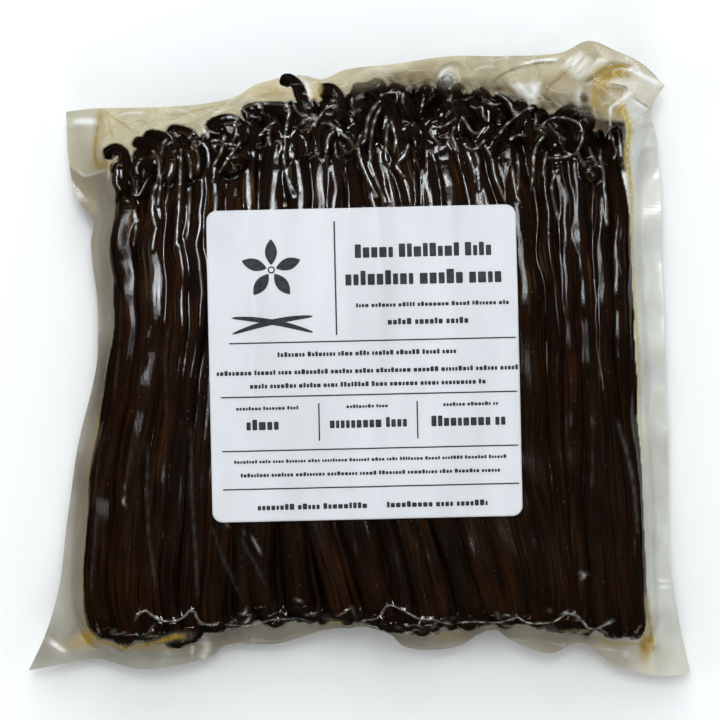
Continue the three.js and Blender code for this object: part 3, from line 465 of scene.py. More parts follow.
class FinishSettings(bpy.types.PropertyGroup):
    """Colours of the pack."""

    pod_dark: colour_setting("Pod, dark", "Oily skin in the furrows", (0.0077, 0.0035, 0.0014))
    pod_warm: colour_setting("Pod, warm", "Reddish brown on the ridges", (0.072, 0.025, 0.0064))
    pod_dry: colour_setting("Pod, dry", "Tan streaks towards the stem", (0.21, 0.125, 0.062))
    film_dull: colour_setting("Film, dull", "Sealed film of the left and bottom margin",
                              (0.30, 0.27, 0.21))
    film_pale: colour_setting("Film, pale", "Sealed film of the right margin", (0.64, 0.65, 0.60))
    film_straw: colour_setting("Film, straw", "Film along the stem end", (0.64, 0.575, 0.40))
    oil: colour_setting("Vanilla oil", "Amber stains in the seam", (0.39, 0.245, 0.033))
    oil_thin: colour_setting("Vanilla oil, thin", "Thin yellow oil along the right seam",
                             (0.50, 0.41, 0.15))
    paper: colour_setting("Paper", "Label paper", (0.60, 0.61, 0.63))
    ink: colour_setting("Ink", "Label print", (0.022, 0.022, 0.024))


class StageSettings(bpy.types.PropertyGroup):
    """Camera, lights and floor."""

    scale: setting("Scale", "Pixels to the millimetre at the aim height", 3.1)
    distance: distance_setting("Distance", "Camera height over the aim point", 1.278)
    aim_height: distance_setting("Aim height", "Height that the scale holds at", 0.022)
    window: power_setting("Window", "Power of the window light", 7.2)
    fill: power_setting("Fill", "Power of a soft light at the side", 14.6)
    rim: power_setting("Rim", "Power of the narrow lights that draw the rims", 4.5)
    room: setting("Room", "Strength of the room's light overhead", 0.012, min=0.0)
    floor: colour_setting("Floor", "Floor colour", (0.93, 0.93, 0.92))


# ------------------------------------------------------------------------------ plain helpers

def rise(start, end, place):
    """Smooth rise from 0 at one place to 1 at another."""
    t = np.clip((np.asarray(place, float) - start) / (end - start), 0, 1)
    return t * t * (3 - 2 * t)


def along(pairs, place):
    """Value at a place, read from pairs of place and value, with eased steps between them."""
    place = np.asarray(place, float)
    value = np.full(place.shape, float(pairs[0][1]))
    for (a, before), (b, after) in zip(pairs, pairs[1:]):
        value = np.where(place > a, before + (after - before) * rise(a, b, place), value)
    return value


def fullness(y):
    """Share of the full depth that the bundle has at y: it thins towards the stems."""
    return 1 - 0.34 * rise(8, 92, y) - 0.1 * rise(-62, -96, y)


def sideways(y, depth):
    """Middle and half width of the bundle at y, to the centre lines of its outer pods."""
    left = along(LEFT_EDGE, y) + depth / 2
    right = along(RIGHT_EDGE, y) - depth / 2
    return (left + right) / 2, (right - left) / 2


def profile(share, power):
    """Half depth of the cross-section at a share of its half width, of 1."""
    return (1 - np.minimum(1, np.abs(share)) ** power) ** (1 / power)


def flow(share, y):
    """Sideways shift that neighbouring pods share, at a share of the half width."""
    held = rise(-0.42, -0.15, share) * (1 - rise(0.45, 0.8, share))
    fan = 13.5 * rise(-26, -92, y) * held
    swept = -6 * rise(40, 86, y) * rise(-0.2, 0.05, share) * (1 - rise(0.6, 0.78, share))
    return fan + swept + 0.8 * np.sin(y / 29 + 5 * share) + 0.4 * np.sin(y / 13 + 11 * share)


def lengths(line):
    """Distance along a line to each of its points."""
    return np.concatenate([[0], np.cumsum(np.linalg.norm(np.diff(line, axis=0), axis=1))])


def smooth_run(points, count):
    """Evenly spaced points on a centripetal Catmull-Rom curve through the given ones."""
    points = np.asarray(points, float)
    ends = np.vstack([2 * points[0] - points[1], points, 2 * points[-1] - points[-2]])
    fine = []
    for p0, p1, p2, p3 in zip(ends, ends[1:], ends[2:], ends[3:]):
        k0, k1, k2, k3 = np.cumsum([0] + [
            max(np.linalg.norm(b - a), 1e-6) ** 0.5 for a, b in ((p0, p1), (p1, p2), (p2, p3))])
        t = np.linspace(k1, k2, 24, endpoint=False)[:, None]

        def between(a, b, low, high):
            return (high - t) / (high - low) * a + (t - low) / (high - low) * b

        a1, a2, a3 = between(p0, p1, k0, k1), between(p1, p2, k1, k2), between(p2, p3, k2, k3)
        fine.append(between(between(a1, a2, k0, k2), between(a2, a3, k1, k3), k1, k2))
    fine = np.vstack(fine + [points[-1:]])
    length = lengths(fine)
    return np.column_stack([
        np.interp(np.linspace(0, length[-1], count), length, fine[:, k])
        for k in range(fine.shape[1])])


class Heights:
    """Heights over the pack on a square grid, in millimetres."""

    half_x, half_y, step = 112.0, 108.0, 0.4

    def __init__(self, z=None):
        self.xs = np.arange(-self.half_x, self.half_x + self.step / 2, self.step)
        self.ys = np.arange(-self.half_y, self.half_y + self.step / 2, self.step)
        self.x, self.y = np.meshgrid(self.xs, self.ys)
        self.z = np.full(self.x.shape, NOTHING) if z is None else z

    def stamp(self, ring, up=1):
        """Raises the grid to a pod's skin, given as rings of points round its centre line."""
        points_a_step = 1.6
        ring = np.concatenate([ring, ring[:, :1]], axis=1)
        for axis in (0, 1):
            ring = np.swapaxes(ring, 0, axis)
            parts = max(1, int(np.abs(np.diff(ring, axis=0)).max() / self.step * points_a_step))
            share = (np.arange(parts) / parts)[None, :, None, None]
            between = ring[:-1, None] * (1 - share) + ring[1:, None] * share
            ring = np.concatenate([between.reshape(-1, *ring.shape[1:]), ring[-1:]])
            ring = np.swapaxes(ring, 0, axis)
        points = ring.reshape(-1, 3)
        i = np.rint((points[:, 0] + self.half_x) / self.step).astype(int)
        j = np.rint((points[:, 1] + self.half_y) / self.step).astype(int)
        keep = (i >= 0) & (j >= 0) & (i < len(self.xs)) & (j < len(self.ys))
        np.maximum.at(self.z, (j[keep], i[keep]), up * points[keep, 2])

    def dome(self, at, half_width, half_depth):
        """Raises the grid to a low dome."""
        i = int(round((at[0] + self.half_x) / self.step))
        j = int(round((at[1] + self.half_y) / self.step))
        reach = int(half_width / self.step) + 1
        part = (slice(max(0, j - reach), j + reach + 1), slice(max(0, i - reach), i + reach + 1))
        away = ((self.x[part] - at[0]) ** 2 + (self.y[part] - at[1]) ** 2) / half_width ** 2
        top = np.where(away < 1, at[2] + half_depth * np.sqrt(np.maximum(0, 1 - away)), NOTHING)
        np.maximum(self.z[part], top, out=self.z[part])

    def at(self, x, y):
        """Height at any points, between the grid's own."""
        u = np.clip((x + self.half_x) / self.step, 0, len(self.xs) - 1.001)
        v = np.clip((y + self.half_y) / self.step, 0, len(self.ys) - 1.001)
        i, j = u.astype(int), v.astype(int)
        u, v = u - i, v - j
        z = self.z
        return ((z[j, i] * (1 - u) + z[j, i + 1] * u) * (1 - v)
                + (z[j + 1, i] * (1 - u) + z[j + 1, i + 1] * u) * v)


def settle(lowest, start, cling, rounds):
    """Film held up by `lowest` and sucked down elsewhere: a stretched skin under even pressure.

    Each round moves a height past the mean of its neighbours by the over-relaxation's factor.
    """
    over_relaxation = 1.6
    z = np.maximum(start, lowest)
    rows, columns = np.indices(z.shape)
    even = ((rows + columns) % 2 == 0)[1:-1, 1:-1]
    drop = cling * Heights.step ** 2 / 4
    floor = lowest[1:-1, 1:-1]
    for _ in range(rounds):
        for cells in (even, ~even):
            inner = z[1:-1, 1:-1]
            mean = (z[:-2, 1:-1] + z[2:, 1:-1] + z[1:-1, :-2] + z[1:-1, 2:]) / 4 - drop
            moved = np.maximum(inner + over_relaxation * (mean - inner), floor)
            z[1:-1, 1:-1] = np.where(cells, moved, inner)
    return z


def soften(z, rounds):
    """Averages each height with its neighbours a few times."""
    for _ in range(rounds):
        inner = (z[:-2, 1:-1] + z[2:, 1:-1] + z[1:-1, :-2] + z[1:-1, 2:]) / 8 + z[1:-1, 1:-1] / 2
        z = z.copy()
        z[1:-1, 1:-1] = inner
    return z


# ------------------------------------------------------------------------------ the pods

def wave(draw, place, size, low, high):
    """A slow random wave along a pod."""
    return size * np.sin(place / draw.uniform(low, high) + draw.uniform(0, 6.3))


def pod_line(bundle, share, level, ends, count, draw):
    """Centre line of a pod at a share of the bundle's half width and of its half depth."""
    y = np.linspace(ends[0], ends[1], count)
    middle, half = sideways(y, bundle.pod_depth)
    thin = 0.3 + 0.7 * rise(-15, 45, y)
    own = wave(draw, y, 0.3, 6, 10) + wave(draw, y, 0.7, 20, 40) + draw.normal(0, 0.8) * y / 80
    own += wave(draw, y, 0.22, 1.6, 3.2) * thin + wave(draw, y, 0.8, 2.5, 5) * rise(48, 80, y)
    drift = draw.normal(0, 2.2) * rise(50, 88, y) + draw.normal(0, 1.1) * rise(-60, -92, y)
    x = middle + share * half + flow(share, y) + own + drift
    x = np.clip(x, middle - half, middle + half)
    inward = profile((x - middle) / half, bundle.squareness)
    lift = wave(draw, y, draw.uniform(0.15, 0.6), 9, 26) - draw.uniform(0, 3.5) * rise(60, 90, y)
    lift += thin * (wave(draw, y, 0.12, 1.6, 3.4) + wave(draw, y, 0.24, 2.6, 5)
                    - draw.random() ** 2 * 1.5)
    z = bundle.middle + level * bundle.half_depth * fullness(y) * inward + lift
    return np.column_stack([x, y, z])


def curl(line, radius, turn, hand, rise_by):
    """Continues a centre line by an arc to one side: the curl of a stem."""
    heading = line[-1] - line[-3]
    heading[2] = 0
    heading /= np.linalg.norm(heading)
    side = np.array([heading[1], -heading[0], 0]) * hand
    angle = np.linspace(0, turn, max(5, int(turn * radius / 0.7)))[1:, None]
    arc = line[-1] + radius * (side * (1 - np.cos(angle)) + heading * np.sin(angle))
    arc[:, 2] += rise_by * (angle[:, 0] / turn) ** 1.5
    return np.vstack([line, arc])


def girth(line, draw):
    """Share of the full section along a pod: a blunt tip, a full body and a thin stem."""
    stem = 0.36
    place = lengths(line)
    left = place[-1] - place
    blunt = np.minimum(1, place / 3.6)
    neck = np.minimum(1, left / 42)
    scale = (0.35 + 0.65 * np.sqrt(blunt * (2 - blunt))) * (stem + (1 - stem) * neck * (2 - neck))
    swell = 1 + wave(draw, place, 0.05, 5, 9) + wave(draw, place, 0.05, 14, 28)
    knob = 1 + 0.35 * np.exp(-((left - 1.6) / 1.6) ** 2)
    return scale * swell * knob * np.sqrt(np.minimum(1, left / 1.4 + 0.1))


def sweep(line, half_width, half_depth, out, sides, draw):
    """Skin of one pod: its rings, points, faces and the place of each face corner on the skin."""
    count = len(line)
    forward = np.gradient(line, axis=0)
    forward /= np.linalg.norm(forward, axis=1)[:, None]
    across = np.cross(forward, out)
    across /= np.linalg.norm(across, axis=1)[:, None]
    outward = np.cross(across, forward)
    angle = np.linspace(0, 2 * np.pi, sides, endpoint=False)[None, :]
    place = lengths(line)[:, None]
    wrinkle = np.ones((count, sides))
    for folds, deep in ((2, 0.05), (3, 0.06), (5, 0.032), (7, 0.022)):
        twist = (draw.uniform(0, 6.3) + wave(draw, place, 0.9, 8, 30)
                 + wave(draw, place, 0.5, 1.8, 5))
        wrinkle += deep * draw.uniform(0.4, 1.2) * np.cos(folds * angle + twist)
    boxy = (0.80 + draw.uniform(-0.02, 0.2) * rise(-25, 25, line[:, 1]))[:, None]
    flat = [np.sign(f) * np.abs(f) ** boxy for f in (np.cos(angle), np.sin(angle))]
    ring = (line[:, None, :]
            + across[:, None, :] * (flat[0] * wrinkle * half_width[:, None])[..., None]
            + outward[:, None, :] * (flat[1] * wrinkle * half_depth[:, None])[..., None])
    ring[..., 2] = np.maximum(ring[..., 2], PRESSED)
    points = np.vstack([line[:1] - forward[:1] * 0.4, ring.reshape(-1, 3),
                        line[-1:] + forward[-1:] * 0.3])
    r, s = np.meshgrid(np.arange(count - 1), np.arange(sides), indexing="ij")
    r, s = r.ravel(), s.ravel()
    turn = (s + 1) % sides
    quads = np.column_stack([1 + r * sides + s, 1 + (r + 1) * sides + s,
                             1 + (r + 1) * sides + turn, 1 + r * sides + turn])
    place = place[:, 0]
    width = np.pi * (half_width.max() + half_depth.max())
    u = np.column_stack([s, s, s + 1, s + 1]) / sides * width
    v = np.column_stack([place[r], place[r + 1], place[r + 1], place[r]])
    s = np.arange(sides)
    turn = (s + 1) % sides
    last = len(points) - 1
    first_cap = np.column_stack([np.zeros(sides, int), 1 + s, 1 + turn])
    last_cap = np.column_stack([np.full(sides, last), last - sides + turn, last - sides + s])
    caps_u = np.column_stack([s + 0.5, s, s + 1]) / sides * width
    return {
        "ring": ring, "points": points, "quads": quads,
        "triangles": np.vstack([first_cap, last_cap]),
        "uv": np.concatenate([
            np.column_stack([u.ravel(), v.ravel()]),
            np.column_stack([caps_u.ravel(), np.tile([-0.4, 0, 0], sides)]),
            np.column_stack([caps_u[:, [0, 2, 1]].ravel(), np.tile([place[-1]] * 3, sides)]),
        ]) + [0, draw.uniform(0, 4000)],
        "tint": np.full(len(points), draw.random()),
    }


def lay_pods(bundle):
    """Every pod of the pack, as skins grouped by the piece that they are joined into."""
    draw = np.random.default_rng(bundle.seed)
    skins = {name: [] for name in POD_PIECES}

    def skin_of(piece, line, size, wide, out):
        scale = girth(line, draw) * size
        skins[piece].append(sweep(line, scale * wide / 2, scale * bundle.pod_depth / 2,
                                  np.array(out, float), POD_PIECES[piece][1], draw))

    def row(piece, count, level, ahead, behind, curled, out):
        widths = draw.uniform(0.74, 1.26, count)
        edges = np.concatenate([[0], np.cumsum(widths)]) / widths.sum() * 2 - 1
        for k in range(count):
            share = (edges[k] + edges[k + 1]) / 2
            wide = (edges[k + 1] - edges[k]) * HALF_WIDTH * PRESSED_WIDER
            first = along(BLUNT_EDGE, share * BLUNT_HALF + MIDDLE + flow(share, BLUNT_Y))
            last = along(STEM_EDGE, share * STEM_HALF + MIDDLE + flow(share, STEM_Y))
            first = float(first) + draw.uniform(*ahead)
            last = float(last) - draw.uniform(*behind)
            hooked = draw.random() < curled
            radius = draw.uniform(1.2, 2.4)
            dip = draw.random() ** 2 * 1.5 / bundle.half_depth
            line = pod_line(bundle, share, level * (1 - dip), (first, last - radius * hooked),
                            POD_PIECES[piece][0], draw)
            if hooked:
                hand = 1 if draw.random() < 0.5 else -1
                line = curl(line, radius, draw.uniform(1.0, 3.6), hand, draw.uniform(-3.0, 1.6))
            lean = draw.normal(0, 0.25) + 0.5 * np.sign(share) * abs(share) ** 6
            side = np.array([lean * abs(out[2]), 0, 0])
            skin_of(piece, line, draw.uniform(0.92, 1.06), wide, np.array(out) + side)

    across = bundle.across
    row("pods_top", across, 1.0, (0.8, 4.4), (2.0, 14.0), 0.45, (0, 0, 1))
    row("pods_second", across + 1, 0.74, (-1.6, 2.5), (-1.5, 5.0), 0.55, (0, 0, 1))
    for level in (0.46, 0.18, -0.1, -0.38, -0.68):
        row("pods_inner", across, level, (-1.0, 3.0), (0.0, 4.0), 0.0, (0, 0, 1))
    row("pods_under", across, -1.0, (0.5, 3.0), (0.5, 4.0), 0.0, (0, 0, -1))
    for side in (-1, 1):
        for level in (-0.6, -0.3, 0.0, 0.3, 0.58):
            edge = along(STEM_EDGE, side * STEM_HALF + MIDDLE) - draw.uniform(0, 5)
            line = pod_line(bundle, side * 0.999, level, (-86 + draw.uniform(0, 3), edge),
                            POD_PIECES["pods_under"][0], draw)
            skin_of("pods_under", line, draw.uniform(0.85, 1.0), bundle.pod_width, (side, 0, 0.3))
    strays = [(np.array(points, float), size) for points, size in STRAYS]
    for k in range(LOOSE_STEMS):
        x = -78 + 7.4 * (k + draw.uniform(-0.4, 0.4))
        y = float(along(STEM_EDGE, x)) - draw.uniform(9, 20)
        height = bundle.middle + bundle.half_depth * float(fullness(y)) + draw.uniform(-0.5, 2.4)
        heading = draw.normal(0, 0.5)
        turn = draw.normal(0, 1.0)
        points = [(x, y, height)]
        for dip in (0.2, 1.2, 3.4):
            x += draw.uniform(2.0, 4.2) * math.sin(heading)
            y += draw.uniform(2.0, 4.2) * math.cos(heading)
            heading += turn
            points.append((x, y, height - dip))
        strays.append((np.array(points), draw.uniform(0.5, 0.85)))
    for points, size in strays:
        line = smooth_run(points, STRAY_RINGS)
        left = lengths(line)[-1] - lengths(line)
        scale = STRAY_SHARE * size * (1 + wave(draw, left, 0.08, 1.5, 4))
        scale *= 1 + 0.3 * np.exp(-((left - 2) / 2) ** 2)
        scale *= np.sqrt(np.minimum(1, left / 2.0 + 0.1))
        skins["pods_top"].append(sweep(line, scale * bundle.pod_width / 2,
                                       scale * bundle.pod_depth / 2, np.array([0, 0, 1.0]),
                                       POD_PIECES["pods_top"][1], draw))
    return skins


# ------------------------------------------------------------------------------ the film

class PackShape:
    """Everything that the pieces share: the pods, and the heights of film and label."""

    def __init__(self, scene):
        self.bundle = scene.vanilla_bundle
        self.film = scene.vanilla_film
        self.label = scene.vanilla_label
        self.pods = lay_pods(self.bundle)
        self.front, self.back, self.cover = self.film_heights()
        self.paper = self.label_heights()

    def margin_height(self, x, y):
        """Height of the sealed margin, with the ruffles of its free edge."""
        ring = np.vstack([smooth_run(run, 200)[::way] for run, way in (
            (BOTTOM_RUN, 1), (RIGHT_RUN, 1), (TOP_RUN, -1), (LEFT_RUN, -1))])
        around = np.arctan2(ring[:, 1] + 2, ring[:, 0])
        order = np.argsort(around)
        reach = np.hypot(ring[:, 0], ring[:, 1] + 2)[order]
        angle = np.arctan2(y + 2, x)
        edge = np.interp(angle, around[order], reach, period=2 * np.pi)
        step = np.hypot(x, y + 2) / edge
        free = rise(0.8, 1, step)
        centred = np.arctan2(y, x)
        ruffle = np.sin(centred * 17) + 0.6 * np.sin(centred * 29 + 1.3)
        height = self.film.seal_height - self.film.droop * free + 1.5 * free * ruffle
        folded_corners = ((94, 94, 30, 8.5), (-95, 79, 24, 3))
        for cx, cy, far, lift in folded_corners:
            height += lift * (1 - rise(0, far, np.hypot(x - cx, y - cy)))
        return height

    def film_heights(self):
        """Front and back of the film, settled on the pods and the margin, and where pods are."""
        front = Heights()
        back = Heights()
        for skins in self.pods.values():
            for skin in skins:
                front.stamp(skin["ring"])
                back.stamp(skin["ring"], -1)
        cover = Heights(soften((front.z > NOTHING).astype(float), 3))
        seam = self.margin_height(front.x, front.y)
        slack = rise(26, 5, along(STEM_EDGE, front.x) - front.y)
        cling = (self.film.cling * (1 - 0.86 * slack))[1:-1, 1:-1]
        lowest = np.maximum(front.z + OVER_PODS, seam + OVER_SEAL)
        skin = settle(lowest, lowest, cling, 160)
        lowest = np.maximum(lowest, self.creases(Heights(skin)))
        front.z = soften(settle(lowest, skin, cling, 140), 1)
        lowest = np.maximum(back.z + OVER_PODS, -seam + OVER_SEAL)
        under = soften(settle(lowest, lowest, self.film.cling, 160), 1)
        back.z = np.minimum(np.maximum(-under, OFF_GROUND), front.z - OVER_PODS)
        return front, back, cover

    def creases(self, skin):
        """Sharp ridges where slack film gathers: along the pods, between the stems, at the ends."""
        draw = np.random.default_rng(self.bundle.seed + 9)
        lines = Heights()

        def ridge(points, lift, half_width=0.8):
            """A thin ridge: points with a height are joined in the air, others on the skin."""
            points = np.asarray(points, float)
            run = smooth_run(points, max(6, int(np.ptp(points[:, :2], axis=0).sum() / 0.25)))
            bow = lift * np.sin(np.linspace(0.15, np.pi - 0.15, len(run))) ** 0.5
            base = run[:, 2] if points.shape[1] == 3 else skin.at(run[:, 0], run[:, 1])
            for (x, y), z in zip(run[:, :2], base + bow):
                lines.dome((x, y, z - 0.35), half_width, 0.35)

        straight = POD_PIECES["pods_top"][0] - 4
        for pod in self.pods["pods_top"]:
            ring = pod["ring"]
            if len(ring) == STRAY_RINGS or draw.random() < 0.8:
                continue
            low, high = draw.uniform(0, 45), draw.uniform(50, 72)
            y = np.arange(low, high, 4.0)
            side = ring[:, 0] if draw.random() < 0.5 else ring[:, ring.shape[1] // 2]
            x = np.interp(y, side[:straight, 1], side[:straight, 0])
            x += draw.normal(0, 0.5, len(y))
            ridge(np.column_stack([x, y]), draw.uniform(0.4, 1.2))
        peaks = self.peaks(skin)
        for start in peaks[draw.random(len(peaks)) < 0.25]:
            away = np.hypot(*(peaks[:, :2] - start[:2]).T)
            steep = np.abs(peaks[:, 2] - start[2]) / np.maximum(away, 1e-6)
            near = peaks[(away > 2.5) & (away < 10) & (steep < 0.5)]
            if len(near):
                end = near[draw.integers(len(near))]
                length = np.linalg.norm(end - start)
                middle = (start + end) / 2
                middle[:2] += draw.normal(0, 0.09, 2) * length
                ridge([start, middle, end], -0.05 * length)
        for _ in range(BLUNT_WRINKLES):
            x = draw.uniform(-80, 90)
            y = float(along(BLUNT_EDGE, x)) + draw.uniform(-5, 4)
            size = draw.uniform(1.5, 4.5)
            slant = draw.normal(0, 0.6)
            ridge([[x - slant * size, y - size], [x, y], [x + slant * size, y + size]],
                  draw.uniform(0.2, 0.9))
        for points in CREASES:
            ridge(points, 0.5, 1.1)
        for _, points, lift, width, _ in FOLDS:
            if lift:
                ridge(points, lift, max(0.8, width))
        held = ((np.abs(skin.x - self.label.x) < self.label.width / 2)
                & (np.abs(skin.y - self.label.y) < self.label.length / 2))
        return np.where(held, NOTHING, lines.z)

    @staticmethod
    def peaks(skin):
        """High points of the film over the curled stems."""
        smooth = soften(skin.z, 3)
        high = smooth
        for axis in (0, 1):
            high = np.max([np.roll(high, k, axis) for k in range(-3, 4)], axis=0)
        short = along(STEM_EDGE, skin.x) - skin.y
        j, i = np.nonzero((smooth >= high) & (short > -2) & (short < 24) & (np.abs(skin.x) < 84))
        return np.column_stack([skin.x[j, i], skin.y[j, i], skin.z[j, i]])

    def label_heights(self):
        """The label bridges the dips in the film and follows the swell of the pods gently."""
        stiff_cling = 0.035
        paper = Heights(settle(self.front.z, self.front.z, stiff_cling, 260))
        paper.z = soften(np.maximum(soften(paper.z, 60), self.front.z), 30)
        ripple = 0.2 * np.sin(paper.x / 3.1 + 1.2 * np.sin(paper.y / 19)) * rise(-20, 40, paper.y)
        paper.z = soften(np.maximum(paper.z, self.front.z) + ripple + OVER_FILM, 4)
        return paper


_shape = {}


def pack_shape(scene):
    """The shared shape, worked out once."""
    if "pack" not in _shape:
        _shape["pack"] = PackShape(scene)
    return _shape["pack"]


# ------------------------------------------------------------------------------ mesh making

def deselect():
    """Leaves edit mode and selects nothing."""
    if bpy.context.object and bpy.context.object.mode != "OBJECT":
        bpy.ops.object.mode_set(mode="OBJECT")
    bpy.ops.object.select_all(action="DESELECT")


def finish_piece(piece, name, finish, replaced):
    """Names a piece, smooths it, and gives it its finish and its place in the frame."""
    piece.name = name
    piece.data.name = name
    piece.data.materials.clear()
    piece.data.materials.append(finish)
    piece.data.polygons.foreach_set("use_smooth", [True] * len(piece.data.polygons))
    piece.data.update()
    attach(piece, BODY)
    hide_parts(replaced)


def mesh_from(name, points, quads, triangles=None):
    """A new object from points in millimetres and the point numbers of its faces."""
    mesh = bpy.data.meshes.new(name)
    corners = quads.ravel()
    starts = np.arange(len(quads)) * 4
    if triangles is not None:
        starts = np.concatenate([starts, len(corners) + np.arange(len(triangles)) * 3])
        corners = np.concatenate([corners, triangles.ravel()])
    mesh.vertices.add(len(points))
    mesh.vertices.foreach_set("co", (points * MM).ravel())
    mesh.loops.add(len(corners))
    mesh.loops.foreach_set("vertex_index", corners.astype(np.int32))
    mesh.polygons.add(len(starts))
    mesh.polygons.foreach_set("loop_start", starts.astype(np.int32))
    mesh.update(calc_edges=True)
    mesh.validate()
    piece = bpy.data.objects.new(name, mesh)
    bpy.context.scene.collection.objects.link(piece)
    return piece


def grid_piece(columns, rows, x, y, z):
    """A new object of four-sided faces in columns and rows, from its points in millimetres."""
    deselect()
    bpy.ops.mesh.primitive_grid_add(
        x_subdivisions=columns, y_subdivisions=rows, size=1, location=(0, 0, 0))
    points = np.column_stack([x.ravel(), y.ravel(), z.ravel()])
    bpy.context.object.data.vertices.foreach_set("co", (points * MM).ravel())
    return bpy.context.object


def store(mesh, name, values, kind="FLOAT"):
    """Gives each point of a mesh a number, or with FLOAT_COLOR a colour, that finishes read."""
    layer = mesh.attributes.new(name, kind, "POINT")
    layer.data.foreach_set("value" if kind == "FLOAT" else "color", np.ravel(values))


# ------------------------------------------------------------------------------ finishes

class Finish:
    """A new material and short ways to add its nodes, most of them giving the node's output."""

    def __init__(self, name):
        self.material = bpy.data.materials.new(name)
        self.material.use_nodes = True
        self.tree = self.material.node_tree
        self.tree.nodes.clear()

    def put(self, socket, value):
        """Links an output to a socket, or sets the socket to a constant."""
        if isinstance(value, bpy.types.NodeSocket):
            self.tree.links.new(value, socket)
        else:
            socket.default_value = (*value, 1) if socket.type == "RGBA" else value

    def add(self, kind, inputs, **settings):
        """A node with its settings, and a link or a constant on each named input."""
        node = self.tree.nodes.new(kind)
        for key, value in settings.items():
            setattr(node, key, value)
        for key, value in inputs.items():
            self.put(node.inputs[key], value)
        return node

    def done(self, shader):
        """The material, with this shader on its surface."""
        self.add("ShaderNodeOutputMaterial", {"Surface": shader})
        return self.material

    def place(self):
        return self.add("ShaderNodeTexCoord", {}).outputs["Object"]

    def number(self, name):
        """What store() put on the mesh under this name."""
        return self.add("ShaderNodeAttribute", {}, attribute_name=name).outputs["Fac"]

    def ramp(self, source, low, high, start=0.0, end=1.0):
        """Straight-line change from one value to another between two limits."""
        return self.add("ShaderNodeMapRange", {
            "Value": source, "From Min": start, "From Max": end, "To Min": low,
            "To Max": high}).outputs["Result"]

    def blend(self, amount, first, second, way="MIX"):
        """Two colours, mixed by an amount."""
        node = self.add("ShaderNodeMix", {0: amount}, data_type="RGBA", blend_type=way)
        colours = [s for s in node.inputs if s.type == "RGBA"]
        for socket, value in zip(colours, (first, second)):
            self.put(socket, value)
        return [s for s in node.outputs if s.type == "RGBA"][0]

    def mix(self, amount, first, second):
        """Two shaders, mixed by an amount."""
        return self.add("ShaderNodeMixShader", {0: amount, 1: first, 2: second}).outputs[0]

    def plus(self, first, second):
        return self.add("ShaderNodeMath", {0: first, 1: second}, operation="ADD").outputs[0]

    def times(self, first, second):
        return self.add("ShaderNodeMath", {0: first, 1: second}, operation="MULTIPLY").outputs[0]

    def mapped(self, coordinates, **change):
        """Coordinates turned or stretched."""
        return self.add("ShaderNodeMapping", {"Vector": coordinates, **change}).outputs["Vector"]

    def noise(self, coordinates, scale, detail, stretch=None):
        if stretch:
            coordinates = self.mapped(coordinates, Scale=stretch)
        return self.add("ShaderNodeTexNoise", {
            "Vector": coordinates, "Scale": scale, "Detail": detail}).outputs["Fac"]

    def shaken(self, coordinates, scale, size):
        """Coordinates moved about by noise, so that a regular pattern turns irregular."""
        noise = self.add("ShaderNodeTexNoise", {"Vector": coordinates, "Scale": scale})
        shift = self.add("ShaderNodeVectorMath", {0: noise.outputs["Color"], "Scale": size},
                         operation="SCALE")
        return self.add("ShaderNodeVectorMath", {0: coordinates, 1: shift.outputs[0]},
                        operation="ADD").outputs[0]

    def cells(self, coordinates, scale, feature="F1"):
        """Cells with their outputs."""
        return self.add("ShaderNodeTexVoronoi", {"Vector": coordinates, "Scale": scale},
                        feature=feature).outputs

    def bands(self, coordinates, axis, scale, distortion):
        return self.add("ShaderNodeTexWave", {
            "Vector": coordinates, "Scale": scale, "Distortion": distortion},
            wave_type="BANDS", bands_direction=axis).outputs["Fac"]

    def bump(self, height, strength, distance):
        return self.add("ShaderNodeBump", {
            "Height": height, "Strength": strength, "Distance": distance}).outputs["Normal"]

    def surface(self, colour, roughness, specular, **more):
        return self.add("ShaderNodeBsdfPrincipled", {
            "Base Color": colour, "Roughness": roughness, "Specular IOR Level": specular,
            **more}).outputs["BSDF"]


def pod_finish(colours):
    """Oily, wrinkled, very dark brown skin with finer furrows, dry streaks and golden specks."""
    f = Finish("vanilla_pod_skin")
    uv = f.add("ShaderNodeUVMap", {}, uv_map="PodSkin").outputs["UV"]
    furrow = f.noise(uv, 1.0, 4.0, (1.3, 0.05, 1))
    fine = f.noise(uv, 1.0, 3.0, (4.5, 0.2, 1))
    patch = f.noise(uv, 1.0, 2.0, (0.35, 0.045, 1))
    streak = f.noise(uv, 1.0, 2.0, (0.75, 0.035, 1))
    y = f.add("ShaderNodeSeparateXYZ", {0: f.place()}).outputs["Y"]
    warm = f.times(f.ramp(furrow, 0, 1, 0.35, 0.64), f.ramp(patch, 0.25, 1, 0.32, 0.62))
    warm = f.times(warm, f.ramp(f.number("tint"), 0.4, 1.0))
    skin = f.blend(warm, colours.pod_dark, colours.pod_warm)
    dry = f.times(f.ramp(streak, 0, 0.8, 0.60, 0.68), f.ramp(y, 0.06, 1, 0.005, 0.05))
    skin = f.blend(dry, skin, colours.pod_dry)
    skin = f.blend(f.ramp(y, 0, 0.75, 0.05, 0.078), skin, [0.7 * c for c in colours.pod_dark])
    cells = f.cells(uv, 0.6)
    lit = f.add("ShaderNodeSeparateColor", {0: cells["Color"]}).outputs[0]
    speck = f.times(f.ramp(cells["Distance"], 1, 0, 0.06, 0.12), f.ramp(lit, 0, 0.8, 0.72, 0.76))
    skin = f.blend(speck, skin, (0.30, 0.19, 0.09))
    normal = f.bump(f.plus(furrow, f.times(fine, 0.35)), 0.9, 0.0006)
    return f.done(f.surface(skin, f.ramp(fine, 0.3, 0.6), 0.06, Normal=normal))


